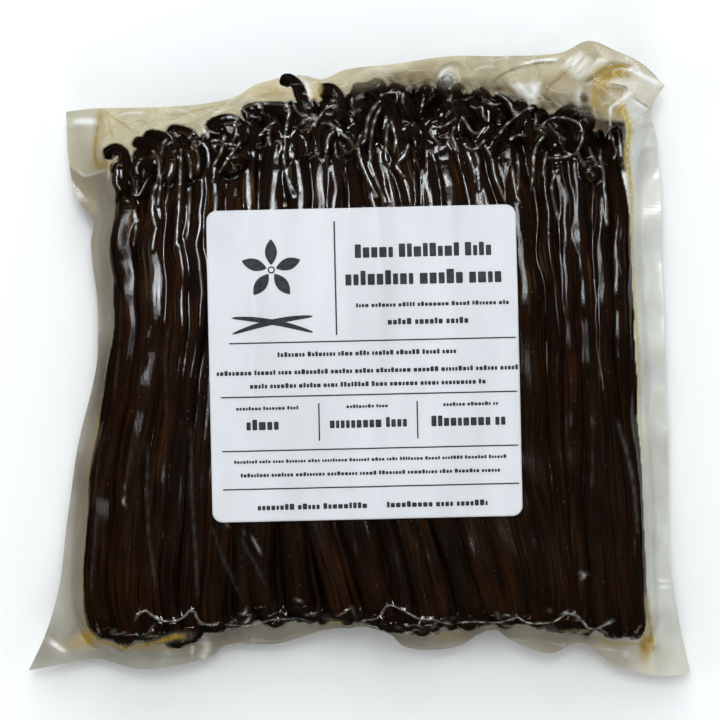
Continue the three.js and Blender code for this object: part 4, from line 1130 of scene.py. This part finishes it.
def film_finish(colours):
    """Clear glossy film: milky and embossed where it is sealed, with amber stains."""
    f = Finish("vacuum_film")
    tone = f.add("ShaderNodeAttribute", {}, attribute_name="tone").outputs
    seal, slack = f.number("seal"), f.number("waffle")
    place = f.place()

    # Relief: the weave and ribs pressed into the seal, then clouds, wrinkles, swells and facets.
    weave = [f.bands(f.mapped(place, Rotation=(0, 0, turn)), "X", 330, 0.3)
             for turn in (0.785, -0.785)]
    waffle = f.times(f.times(*weave), slack)
    emboss = f.plus(f.times(waffle, 1.5), f.times(f.bands(place, "Y", 300, 0.4), 0.3))
    height = f.plus(f.times(f.times(emboss, seal), 0.6), f.noise(place, 1.0, 3.0, (420, 110, 300)))
    height = f.plus(height, f.times(f.noise(place, 1.0, 2.0, (900, 260, 500)), 0.25))
    height = f.plus(height, f.times(f.noise(place, 1.0, 1.0, (150, 60, 90)), 2.6))
    facets = f.times(f.cells(f.shaken(place, 90, 0.006), 150)["Distance"], slack)
    normal = f.bump(f.plus(height, f.times(facets, 16.0)), 0.38, 0.00026)

    # Colour of the milky film: blotches, painted shade along the embossed weave, a net of fine
    # lines of painted highlight and a net of oil lines, loops and pools of oil.
    blotch = f.ramp(f.noise(place, 1.0, 4.0, (70, 40, 60)), 0, 1, 0.42, 0.62)
    # The weave darkens the colour, as painted shade of the embossing.
    tinted = f.blend(f.plus(blotch, f.times(waffle, 0.5)), tone["Color"], (0.80, 0.79, 0.76),
                     "MULTIPLY")
    # The pale net paints highlights on the crumpled seal; the other is oil.
    for scale, thin, start, colour in ((120, 0.035, 0.5, (0.92, 0.90, 0.82)),
                                       (75, 0.05, 0.46, colours.oil)):
        edge = f.cells(f.shaken(place, 60, 0.012), scale, "DISTANCE_TO_EDGE")["Distance"]
        broken = f.ramp(f.noise(place, 1.9 * scale, 1.0), 0, 1, start, start + 0.1)
        line = f.times(f.ramp(edge, 1, 0, 0, thin), broken)
        tinted = f.blend(f.times(f.times(line, slack), 0.26), tinted, colour)
    web = f.ramp(f.cells(place, 560, "DISTANCE_TO_EDGE")["Distance"], 1, 0.25, 0.08, 0.26)
    tinted = f.blend(f.times(web, f.number("loops")), tinted, colours.oil_thin)
    pools = f.times(f.number("stain"), f.ramp(f.noise(place, 330, 2.0), 0.6, 1, 0.32, 0.52))
    tinted = f.blend(pools, tinted, colours.oil)

    # Clear or smoky film under milky film, and the mirror of the room over both.
    clear = f.blend(f.number("smoke"), (0.97, 0.96, 0.94), (0.71, 0.69, 0.66))
    clear = f.add("ShaderNodeBsdfTransparent", {"Color": clear}).outputs[0]
    milk = f.add("ShaderNodeBsdfDiffuse", {"Color": tinted, "Normal": normal}).outputs[0]
    roughness = f.plus(f.ramp(seal, 0.05, 0.2), f.number("dull"))
    gloss = f.add("ShaderNodeBsdfGlossy", {"Roughness": roughness, "Normal": normal}).outputs[0]
    mirror = f.add("ShaderNodeFresnel", {"IOR": 1.6, "Normal": normal}).outputs[0]
    return f.done(f.mix(f.times(mirror, f.number("shine")), f.mix(tone["Alpha"], clear, milk),
                        gloss))


def paper_finish(colours):
    """Smooth label paper with a faint sheen, and very slight mottling in vertical bands that paints
    the light and shade of the label's gentle waves.
    """
    f = Finish("label_paper")
    place = f.place()
    # Painted light and shade: soft vertical bands over the label's waves.
    mottle = f.ramp(f.noise(place, 1.0, 3.0, (62, 13, 1)), 0, 1, 0.3, 0.7)
    colour = f.blend(mottle, colours.paper, [min(1, c * 1.13) for c in colours.paper])
    fibre = f.bump(f.noise(place, 1800, 2.0), 0.15, 0.00004)
    return f.done(f.surface(colour, 0.5, 0.4, Normal=fibre))


def ink_finish(colours):
    """Dark grey print, slightly uneven, as a thermal printer leaves it."""
    f = Finish("label_ink")
    grain = f.ramp(f.noise(f.place(), 900, 3.0), 0, 1, 0.4, 0.75)
    colour = f.blend(grain, colours.ink, [c + 0.03 for c in colours.ink])
    return f.done(f.surface(colour, 0.55, 0.2))


def floor_finish(colour):
    """Matt paint, almost even."""
    f = Finish("floor_paint")
    uneven = f.noise(f.place(), 3, 2.0)
    return f.done(f.surface(f.blend(uneven, colour, [c * 0.985 for c in colour]), 0.9, 0.1))


# ------------------------------------------------------------------------------ operators

class VANILLA_OT_pods(bpy.types.Operator):
    """Lay about two hundred and fifty pods side by side"""

    bl_idname = "vanilla.pods"
    bl_label = "Vanilla Pods"

    def execute(self, context):
        pack = pack_shape(context.scene)
        finish = pod_finish(context.scene.vanilla_finish)
        for name, skins in pack.pods.items():
            starts = np.cumsum([0] + [len(s["points"]) for s in skins])
            quads = np.vstack([s["quads"] + n for s, n in zip(skins, starts)])
            triangles = np.vstack([s["triangles"] + n for s, n in zip(skins, starts)])
            piece = mesh_from(name, np.vstack([s["points"] for s in skins]), quads, triangles)
            split = [len(s["quads"]) * 4 for s in skins]
            uv = np.vstack([s["uv"][:n] for s, n in zip(skins, split)]
                           + [s["uv"][n:] for s, n in zip(skins, split)])
            layer = piece.data.uv_layers.new(name="PodSkin")
            layer.data.foreach_set("uv", uv.ravel())
            store(piece.data, "tint", np.concatenate([s["tint"] for s in skins]))
            finish_piece(piece, name, finish, BAG_NODE)
        return {"FINISHED"}


class VANILLA_OT_film(bpy.types.Operator):
    """Draw the film tight over the pods and seal its margin"""

    bl_idname = "vanilla.film"
    bl_label = "Vacuum Film"

    def execute(self, context):
        pack = pack_shape(context.scene)
        colours = context.scene.vanilla_finish
        finish = film_finish(colours)
        for name, side, share, across, lengthways, walls in FILM_PIECES:
            columns = round(pack.film.columns * across)
            rows = round(pack.film.rows * lengthways)
            x, y = self.places(columns, rows, share, walls)
            piece = grid_piece(columns, rows, x, y, getattr(pack, side).at(x, y))
            self.tones(colours, pack.cover, piece.data, x.ravel(), y.ravel())
            if side == "back":
                bpy.ops.object.mode_set(mode="EDIT")
                bpy.ops.mesh.select_all(action="SELECT")
                bpy.ops.mesh.flip_normals()
                bpy.ops.object.mode_set(mode="OBJECT")
            finish_piece(piece, name, finish, BAG_NODE)
        return {"FINISHED"}

    @staticmethod
    def places(columns, rows, share, walls):
        """Grid of places inside the film's outline, closer where it drops to its margin."""
        fine = np.linspace(0, 1, OUTLINE_POINTS)
        crowd = np.cumsum(1 + walls * (rise(0.11, 0.085, fine)
                                       + rise(0.925, 0.935, fine) * rise(0.98, 0.968, fine)))
        s = np.interp(np.linspace(0, 1, columns + 1), (crowd - crowd[0]) / np.ptp(crowd), fine)
        t = np.linspace(*share, rows + 1)

        def on_run(points, places):
            run = smooth_run(points, OUTLINE_POINTS)
            return np.column_stack([np.interp(places, fine, run[:, k]) for k in (0, 1)])

        bottom, top = on_run(BOTTOM_RUN, s), on_run(TOP_RUN, s)
        left, right = on_run(LEFT_RUN, t), on_run(RIGHT_RUN, t)
        s, t = s[None, :, None], t[:, None, None]
        corners = ((1 - s) * (1 - t) * bottom[0] + s * (1 - t) * bottom[-1]
                   + (1 - s) * t * top[0] + s * t * top[-1])
        grid = ((1 - t) * bottom[None] + t * top[None]
                + (1 - s) * left[:, None] + s * right[:, None] - corners)
        return grid[..., 0], grid[..., 1]

    @staticmethod
    def tones(colours, cover, mesh, x, y):
        """Stores what the film's finish reads at each place: colour, with painted highlights, shade
        and sheen, and milkiness, how far it is sealed and embossed, oil stains and loops, and how
        dull, shiny and smoky it is."""
        left, right = x - along(LEFT_EDGE, y), x - along(RIGHT_EDGE, y)
        ahead = y - along(STEM_EDGE, x)
        shift = 1.5 * rise(60, 80, x) * rise(80, 70, y) - 1.0 * rise(-60, -76, x) * rise(60, 45, y)
        sealed = 1 - rise(0.15, 0.75, cover.at(x + shift, y))
        tint = np.tile(np.array(colours.film_dull), (len(x), 1))

        def dye(colour, share):
            tint[:] += (np.array(colour) - tint) * np.clip(share, 0, 1)[:, None]

        # The margin, from dull at the left and bottom to pale at the right and straw at the top,
        # with painted light on the right margin and patches of painted highlight and shade.
        pale = rise(76, 92, x + 16 * rise(-88, -80, y) - 7 * rise(-84, -90, y))
        pale *= 1 - rise(84, 92, y)
        dye(colours.film_pale, np.maximum(pale, 0.25 * rise(-96, -101, y)))
        dye(colours.film_straw, rise(56, 70, y) * (1 - 0.9 * rise(85, 90, x + 0.2 * (y - 60))))
        dye((0.42, 0.36, 0.235), 0.55 * rise(12, 45, x) * rise(56, 70, y) * rise(86, 80, x))
        dye(colours.film_pale, 0.45 * rise(-3, -10, left) * rise(40, 0, y) * rise(-98, -80, y))
        # Painted light: the right margin lighter towards the top and on its slope beside the pods.
        dye((0.85, 0.86, 0.82), 0.8 * pale * rise(5, 50, y))
        dye((0.93, 0.93, 0.87), pale * rise(3.4, 0.6, right))
        dye(colours.film_pale, 0.2 * rise(-90, -95, y))
        dye(colours.film_straw, 0.3 * rise(-90, -95, y) * rise(10, 60, x))
        # Patches of tone, among them painted highlights and painted shade.
        for colour, share, soft, outline in PATCHES:
            dye(colour, share * inside(outline, x, y, soft))

        # The film between the stems, mottled, and the yellow loops along the right side.
        mottle = 0.5 + 0.5 * (np.sin(1.1 * x + 1.7 * np.sin(0.35 * x + 0.8 * y))
                              * np.sin(0.9 * y + 0.6 * x))
        fringe = rise(-12, -7, ahead) * rise(-88, -80, x) * rise(84, 76, x)
        dye((0.30, 0.22, 0.12), 0.4 * fringe * rise(4, 0, ahead))
        dye((0.10, 0.08, 0.05), (0.35 + 0.65 * mottle) * fringe * rise(6.5, 0.5, ahead)
            * rise(2, 10, x))
        band = right + 0.4 - 1.4 * rise(44, 62, y) - 2.3 * rise(62, 80, y)
        loops = np.exp(-band ** 2) * (1 - rise(80, 85, y)) * (
            0.12 + 0.6 * rise(-45, 5, y) + 0.28 * rise(35, 60, y))
        dye((0.95, 0.78, 0.34), loops)

        # Milky places in the clear film, stains in the seam, and the creases and folds, with
        # painted highlights, painted shadow and painted faint reflections along them.
        veil = 0.34 * rise(2.5, -2.5, -ahead) * rise(-8, 2, x) * rise(84, 72, x)
        stain = 0.9 * np.exp(-((left - 0.1) / 0.6) ** 2) * (1 - rise(-30, 0, y))
        stain *= rise(-92, -88, y)
        for cx, cy, wide, tall, strength in STAINS:
            stain += strength * np.exp(-((x - cx) / wide) ** 2 - ((y - cy) / tall) ** 2)
        uneven = 0.6 + 0.4 * np.sin(1.7 * x + 0.9 * np.sin(0.8 * y)) * np.sin(0.45 * x - 1.1 * y)
        glint = (0.5 + 0.5 * np.sin(1.3 * x + 1.1 * y + 1.6 * np.sin(0.7 * x - 0.5 * y))) ** 2
        # A grey line along each crease, with painted highlights along parts of it.
        for points in CREASES:
            share = np.exp(-(off_line(smooth_run(points, 14), x, y) / 0.27) ** 2)
            dye((0.44, 0.42, 0.38), share)
            dye((0.95, 0.97, 0.97), share * glint)
            veil = np.maximum(veil, share * (0.15 + 0.45 * glint))
        # Folds paint their colour: highlights, shadow and faint reflections, and oil as a stain.
        for kind, points, _, width, strength in FOLDS:
            run = smooth_run(points, 20)
            away = off_line(run, x, y)
            ends = np.minimum(*(np.hypot(x - e[0], y - e[1]) for e in (run[0], run[-1])))
            share = strength * np.exp(-(away / width) ** 2) * rise(-0.5, 2.5, ends)
            if kind == "oil":
                stain = np.maximum(stain, share)
            else:
                dye(FOLD_COLOURS[kind], share)
            if kind == "edge":
                dye(FOLD_COLOURS["glare"], 0.8 * share * glint)
                share = share * uneven
            if kind == "sheen":
                share = 0.13 * share * uneven
            if kind not in ("glare", "shade"):
                veil = np.maximum(veil, 0.8 * share)

        haze = 0.001 + 0.939 * np.maximum(sealed, veil)
        store(mesh, "tone", np.column_stack([tint, haze]), "FLOAT_COLOR")
        store(mesh, "seal", sealed)
        store(mesh, "waffle", rise(58, 68, y) * (1 - inside(FLAP_LEFT, x, y, 0.8)))
        store(mesh, "stain", np.clip(stain, 0, 1))
        store(mesh, "loops", loops)
        quiet, edge = rise(30, 48, x), rise(-69, -76, x) * rise(62, 50, y)
        store(mesh, "dull", 0.07 * rise(10, -50, y) + 0.05 * quiet * rise(38, 12, y))
        store(mesh, "shine", 1 - (1 - sealed) * np.clip(
            0.62 * edge + 0.5 * quiet * rise(78, 64, y)
            + 0.1 * quiet * rise(42, 8, y), 0, 0.8))
        store(mesh, "smoke", (1 - sealed) * np.maximum(
            quiet * rise(82, 62, y) * (0.8 + 0.2 * rise(-60, 0, y)), edge))


def inside(outline, x, y, soft):
    """Share of 1 inside a closed outline, falling to 0 over a soft edge."""
    outline = np.array(outline, float)
    odd = np.zeros(len(x), bool)
    for (ax, ay), (bx, by) in zip(outline, np.roll(outline, -1, axis=0)):
        crosses = (ay > y) != (by > y)
        odd ^= crosses & (x < (bx - ax) * (y - ay) / (by - ay + 1e-9) + ax)
    away = off_line(np.vstack([outline, outline[:1]]), x, y)
    return np.clip(0.5 + np.where(odd, away, -away) / soft, 0, 1)


def off_line(points, x, y):
    """Distance of places from a line of straight runs, in millimetres."""
    points = np.array(points, float)
    nearest = np.full(len(x), 1e3)
    for (ax, ay), (bx, by) in zip(points, points[1:]):
        run = np.array([bx - ax, by - ay])
        share = np.clip(((x - ax) * run[0] + (y - ay) * run[1]) / (run @ run), 0, 1)
        nearest = np.minimum(nearest, np.hypot(x - ax - share * run[0], y - ay - share * run[1]))
    return nearest


class VANILLA_OT_label(bpy.types.Operator):
    """Stick the square label over the middle of the pack"""

    bl_idname = "vanilla.label"
    bl_label = "Label"

    def execute(self, context):
        pack = pack_shape(context.scene)
        size = pack.label
        steps = np.linspace(-1, 1, LABEL_FACES + 1)
        u, v = np.meshgrid(steps * size.width / 2, steps * size.length / 2)
        inner_u, inner_v = size.width / 2 - size.corner, size.length / 2 - size.corner
        du, dv = np.abs(u) - inner_u, np.abs(v) - inner_v
        corner = (du > 0) & (dv > 0)
        away = np.where(corner, np.maximum(du, dv) / np.maximum(np.hypot(du, dv), 1e-9), 1)
        u = np.where(corner, np.sign(u) * (inner_u + du * away), u)
        v = np.where(corner, np.sign(v) * (inner_v + dv * away), v)
        x, y, z = on_label(pack, u.ravel(), v.ravel())
        piece = grid_piece(LABEL_FACES, LABEL_FACES, x, y, z + PAPER_THICK)
        thickness = piece.modifiers.new("Paper", "SOLIDIFY")
        thickness.thickness = PAPER_THICK * MM
        thickness.offset = -1
        bpy.ops.object.modifier_apply(modifier="Paper")
        finish_piece(piece, "label_sheet",
                     paper_finish(context.scene.vanilla_finish), LABEL_NODE)
        return {"FINISHED"}


def on_label(pack, u, v):
    """Place on the pack of points of the label, and the height of its underside there."""
    size = pack.label
    cos, sin = math.cos(size.turn), math.sin(size.turn)
    x = size.x + u * cos - v * sin
    y = size.y + u * sin + v * cos
    return x, y, pack.paper.at(x, y)


class VANILLA_OT_print(bpy.types.Operator):
    """Print the label with plain bars, rules and a drawing of a flower and pods"""

    bl_idname = "vanilla.print"
    bl_label = "Label Print"

    def execute(self, context):
        pack = pack_shape(context.scene)
        strips = list(self.rules()) + list(self.words()) + list(self.drawing())
        points, quads, start = [], [], 0
        for centre, half in strips:
            count = len(centre)
            forward = np.gradient(centre, axis=0)
            forward /= np.maximum(np.linalg.norm(forward, axis=1), 1e-9)[:, None]
            side = np.column_stack([-forward[:, 1], forward[:, 0]])
            low, high = centre - side * half[:, None], centre + side * half[:, None]
            flat = np.vstack([low, centre, high])
            x, y, z = on_label(pack, flat[:, 0], flat[:, 1])
            points.append(np.column_stack([x, y, z + INK_HEIGHT]))
            i = np.arange(count - 1)
            for row in (0, 1):
                a = start + row * count + i
                quads.append(np.column_stack([a, a + 1, a + 1 + count, a + count]))
            start += 3 * count
        piece = mesh_from("label_print", np.vstack(points), np.vstack(quads))
        finish_piece(piece, "label_print",
                     ink_finish(context.scene.vanilla_finish), LABEL_NODE)
        return {"FINISHED"}

    @staticmethod
    def bar(u0, u1, v, height):
        """A bar with rounded ends, as a centre line and half widths."""
        half = height / 2
        soft = min(half, (u1 - u0) * 0.45, 0.3)
        ends = np.array([0, 0.12, 0.4, 1.0]) * soft
        length = u1 - u0
        inner = np.linspace(soft, max(soft, length - soft), max(2, int(length / 0.6) + 1))
        along_bar = np.unique(np.concatenate([ends, inner, length - ends]))
        reach = np.minimum(1, np.minimum(along_bar, length - along_bar) / soft)
        rounding = half - soft + soft * np.sqrt(np.maximum(0, 1 - (1 - reach) ** 2))
        return np.column_stack([u0 + along_bar, np.full(len(along_bar), v)]), rounding

    def rules(self):
        """The thin ruled lines that divide the label."""
        for v, start in ((7.2, -43.0), (-10.0, -46.0), (-27.2, -46.0), (-39.4, -46.0)):
            yield self.bar(start, 48.6, v, 0.42)
        for u, low, high, count, half in ((-8.6, 9.2, 45.6, 60, 0.25),
                                          (-14.8, -24.4, -12.4, 24, 0.22),
                                          (16.6, -24.4, -12.4, 24, 0.22)):
            down = np.linspace(low, high, count)
            yield np.column_stack([np.full(count, u), down]), np.full(count, half)

    def words(self):
        """Rows of small blocks in place of text: start, end, place, block height and width."""
        draw = np.random.default_rng(21)
        rows = (
            (-2.2, 41.4, 36.0, 4.6, 2.4), (-5.4, 46.7, 27.4, 4.9, 2.6),
            (-2.2, 47.0, 18.6, 1.5, 1.15), (7.8, 33.6, 13.2, 2.1, 1.5),
            (-27.6, 29.4, 3.4, 1.7, 1.2), (-47.2, 49.0, -2.2, 1.7, 1.2),
            (-36.6, 39.2, -6.5, 1.7, 1.2),
            (-41.2, -20.6, -13.6, 1.3, 1.0), (-6.0, 7.8, -13.6, 1.2, 1.0),
            (24.9, 42.4, -13.6, 1.3, 1.0),
            (-38.0, -25.4, -18.8, 3.6, 2.2), (-11.4, 13.2, -18.8, 3.4, 1.9),
            (21.0, 44.6, -18.8, 3.6, 2.0),
            (-42.2, 45.6, -30.6, 1.2, 0.95), (-40.2, 43.0, -34.9, 1.4, 1.05),
            (-35.0, 1.2, -45.2, 2.0, 1.5), (6.2, 38.4, -45.2, 2.0, 1.5),
        )
        for start, end, v, height, block in rows:
            u = start
            left_in_word = draw.integers(4, 10)
            while u < end - block * 0.4:
                width = block * draw.uniform(0.55, 1.0)
                tall = height * draw.choice((0.72, 0.72, 0.72, 0.94))
                yield self.bar(u, min(u + width, end), v + (tall - height) / 2, tall)
                u += width + block * 0.24
                left_in_word -= 1
                if left_in_word == 0:
                    u += block * 0.55
                    left_in_word = draw.integers(4, 10)

    @staticmethod
    def drawing():
        """An open flower over two long pods."""
        middle = np.array([-29.0, 30.5])
        t = np.linspace(0, 1, 40)
        for angle in (90, 162, 234, 306, 18):
            ahead = np.array([math.cos(math.radians(angle)), math.sin(math.radians(angle))])
            line = middle + ahead * (1.6 + 8.2 * t[:, None])
            yield line, 1.9 * np.sin(np.pi * t) ** 0.8 + 0.02
        around = np.linspace(0, 2 * np.pi, 26)
        yield middle + 0.95 * np.column_stack([np.cos(around), np.sin(around)]), np.full(26, 0.22)
        for hand in (1, -1):
            x = np.linspace(-13, 13, 40)
            y = 13.8 + hand * 0.2 * x - 0.006 * x ** 2
            yield np.column_stack([middle[0] + x, y]), 0.85 * np.sin(np.pi * t) ** 0.45 + 0.02


class VANILLA_OT_stage(bpy.types.Operator):
    """Set out the floor, the lights, the room and the camera straight above"""

    bl_idname = "vanilla.stage"
    bl_label = "Stage"

    def execute(self, context):
        stage = context.scene.vanilla_stage
        deselect()
        bpy.ops.mesh.primitive_plane_add(size=6, location=(0, 0, 0))
        floor = context.object
        floor.name = "floor"
        floor.data.materials.append(floor_finish(stage.floor))
        floor.visible_glossy = False

        # The window is a nest of panes, each wider and higher than the last, to soften its edge.
        cool, warm = (0.93, 0.97, 1.0), (1.0, 0.98, 0.95)
        panes = ((0.14, 0.26, 0.07), (0.22, 0.36, 0.14), (0.32, 0.46, 0.24), (0.42, 0.56, 0.32),
                 (0.56, 0.72, 0.27))
        for k, (wide, long, share) in enumerate(panes):
            self.light(f"window_{k}", (0, 0.38, 1.24 + 0.01 * k), (0, 0.03, 0), (wide, long),
                       stage.window * share, cool)
        for name, x, y, share in (("soft_top", 0, 1.9, 2.0), ("soft_bottom", 0, -1.9, 0.8),
                                  ("soft_left", -1.9, 0, 1.0), ("soft_right", 1.9, 0, 0.8)):
            soft = self.light(name, (x, y, 1.5), (0, 0, 0), (1.6, 1.6), stage.fill * share, cool)
            soft.visible_glossy = False
        for name, y, share in (("rim_bottom", -1.5, 1.1), ("rim_top", 1.7, 0.75)):
            for k, (grow, part) in enumerate(((0.5, 0.3), (0.9, 0.4), (1.4, 0.3))):
                self.light(f"{name}_{k}", (0, y * (1 + 0.01 * k), 0.95), (0, 0, 0),
                           (0.9 * grow, 0.44 * grow), stage.rim * share * part, warm)
        for name, x, share in (("rim_left", -1.5, 0.2), ("rim_right", 1.5, 0.06)):
            side = self.light(name, (x, -0.2, 0.95), (0, 0, 0), (2.0, 0.24), stage.rim * share,
                              cool)
            side.visible_glossy = False
        world = context.scene.world or bpy.data.worlds.new("room")
        context.scene.world = world
        world.use_nodes = True
        nodes, links = world.node_tree.nodes, world.node_tree.links
        up = nodes.new("ShaderNodeSeparateXYZ")
        links.new(nodes.new("ShaderNodeTexCoord").outputs["Generated"], up.inputs[0])
        level = nodes.new("ShaderNodeMapRange")
        for socket, value in (("From Min", 0.0), ("From Max", 0.7), ("To Min", stage.room * 1.3),
                              ("To Max", stage.room)):
            level.inputs[socket].default_value = value
        links.new(up.outputs["Z"], level.inputs["Value"])
        nodes["Background"].inputs["Color"].default_value = (0.95, 0.97, 1, 1)
        links.new(level.outputs["Result"], nodes["Background"].inputs["Strength"])

        data = bpy.data.cameras.new("camera")
        camera = bpy.data.objects.new("camera", data)
        context.scene.collection.objects.link(camera)
        camera.location = (0.00016, -0.00065, stage.aim_height + stage.distance)
        data.sensor_width = SENSOR
        data.lens = SENSOR * stage.distance / (PICTURE / stage.scale * MM)
        data.clip_end = 20
        context.scene.camera = camera
        context.scene.view_settings.view_transform = "Standard"
        return {"FINISHED"}

    @staticmethod
    def light(name, place, aim, size, power, colour):
        """A rectangular light at a place, turned to the point it aims at."""
        data = bpy.data.lights.new(name, "AREA")
        data.shape = "RECTANGLE"
        data.size, data.size_y = size
        data.energy = power
        data.color = colour
        lamp = bpy.data.objects.new(name, data)
        bpy.context.scene.collection.objects.link(lamp)
        lamp.location = place
        towards = np.array(aim) - np.array(place)
        towards = towards / np.linalg.norm(towards)
        lamp.rotation_euler = (math.acos(-towards[2]), 0,
                               math.atan2(towards[1], towards[0]) - math.pi / 2)
        return lamp


class VANILLA_PT_pack(bpy.types.Panel):
    """Builds the pack piece by piece"""

    bl_idname = "VANILLA_PT_pack"
    bl_label = "Vanilla Pack"
    bl_space_type = "VIEW_3D"
    bl_region_type = "UI"
    bl_category = "Vanilla Pack"

    def draw(self, context):
        for operator in STEPS:
            self.layout.operator(operator.bl_idname)
        for name in SETTINGS:
            box = self.layout.box()
            group = getattr(context.scene, name)
            for key in group.__annotations__:
                box.prop(group, key)


SETTINGS = {
    "vanilla_bundle": BundleSettings,
    "vanilla_film": FilmSettings,
    "vanilla_label": LabelSettings,
    "vanilla_finish": FinishSettings,
    "vanilla_stage": StageSettings,
}
STEPS = (VANILLA_OT_stage, VANILLA_OT_pods, VANILLA_OT_film, VANILLA_OT_label, VANILLA_OT_print)
CLASSES = (*SETTINGS.values(), *STEPS, VANILLA_PT_pack)


def register():
    for cls in CLASSES:
        bpy.utils.register_class(cls)
    for name, group in SETTINGS.items():
        setattr(bpy.types.Scene, name, bpy.props.PointerProperty(type=group))


def unregister():
    for name in SETTINGS:
        delattr(bpy.types.Scene, name)
    for cls in reversed(CLASSES):
        bpy.utils.unregister_class(cls)


def main():
    register()
    for step in STEPS:
        space, name = step.bl_idname.split(".")
        getattr(getattr(bpy.ops, space), name)()


if __name__ == "__main__":
    main()
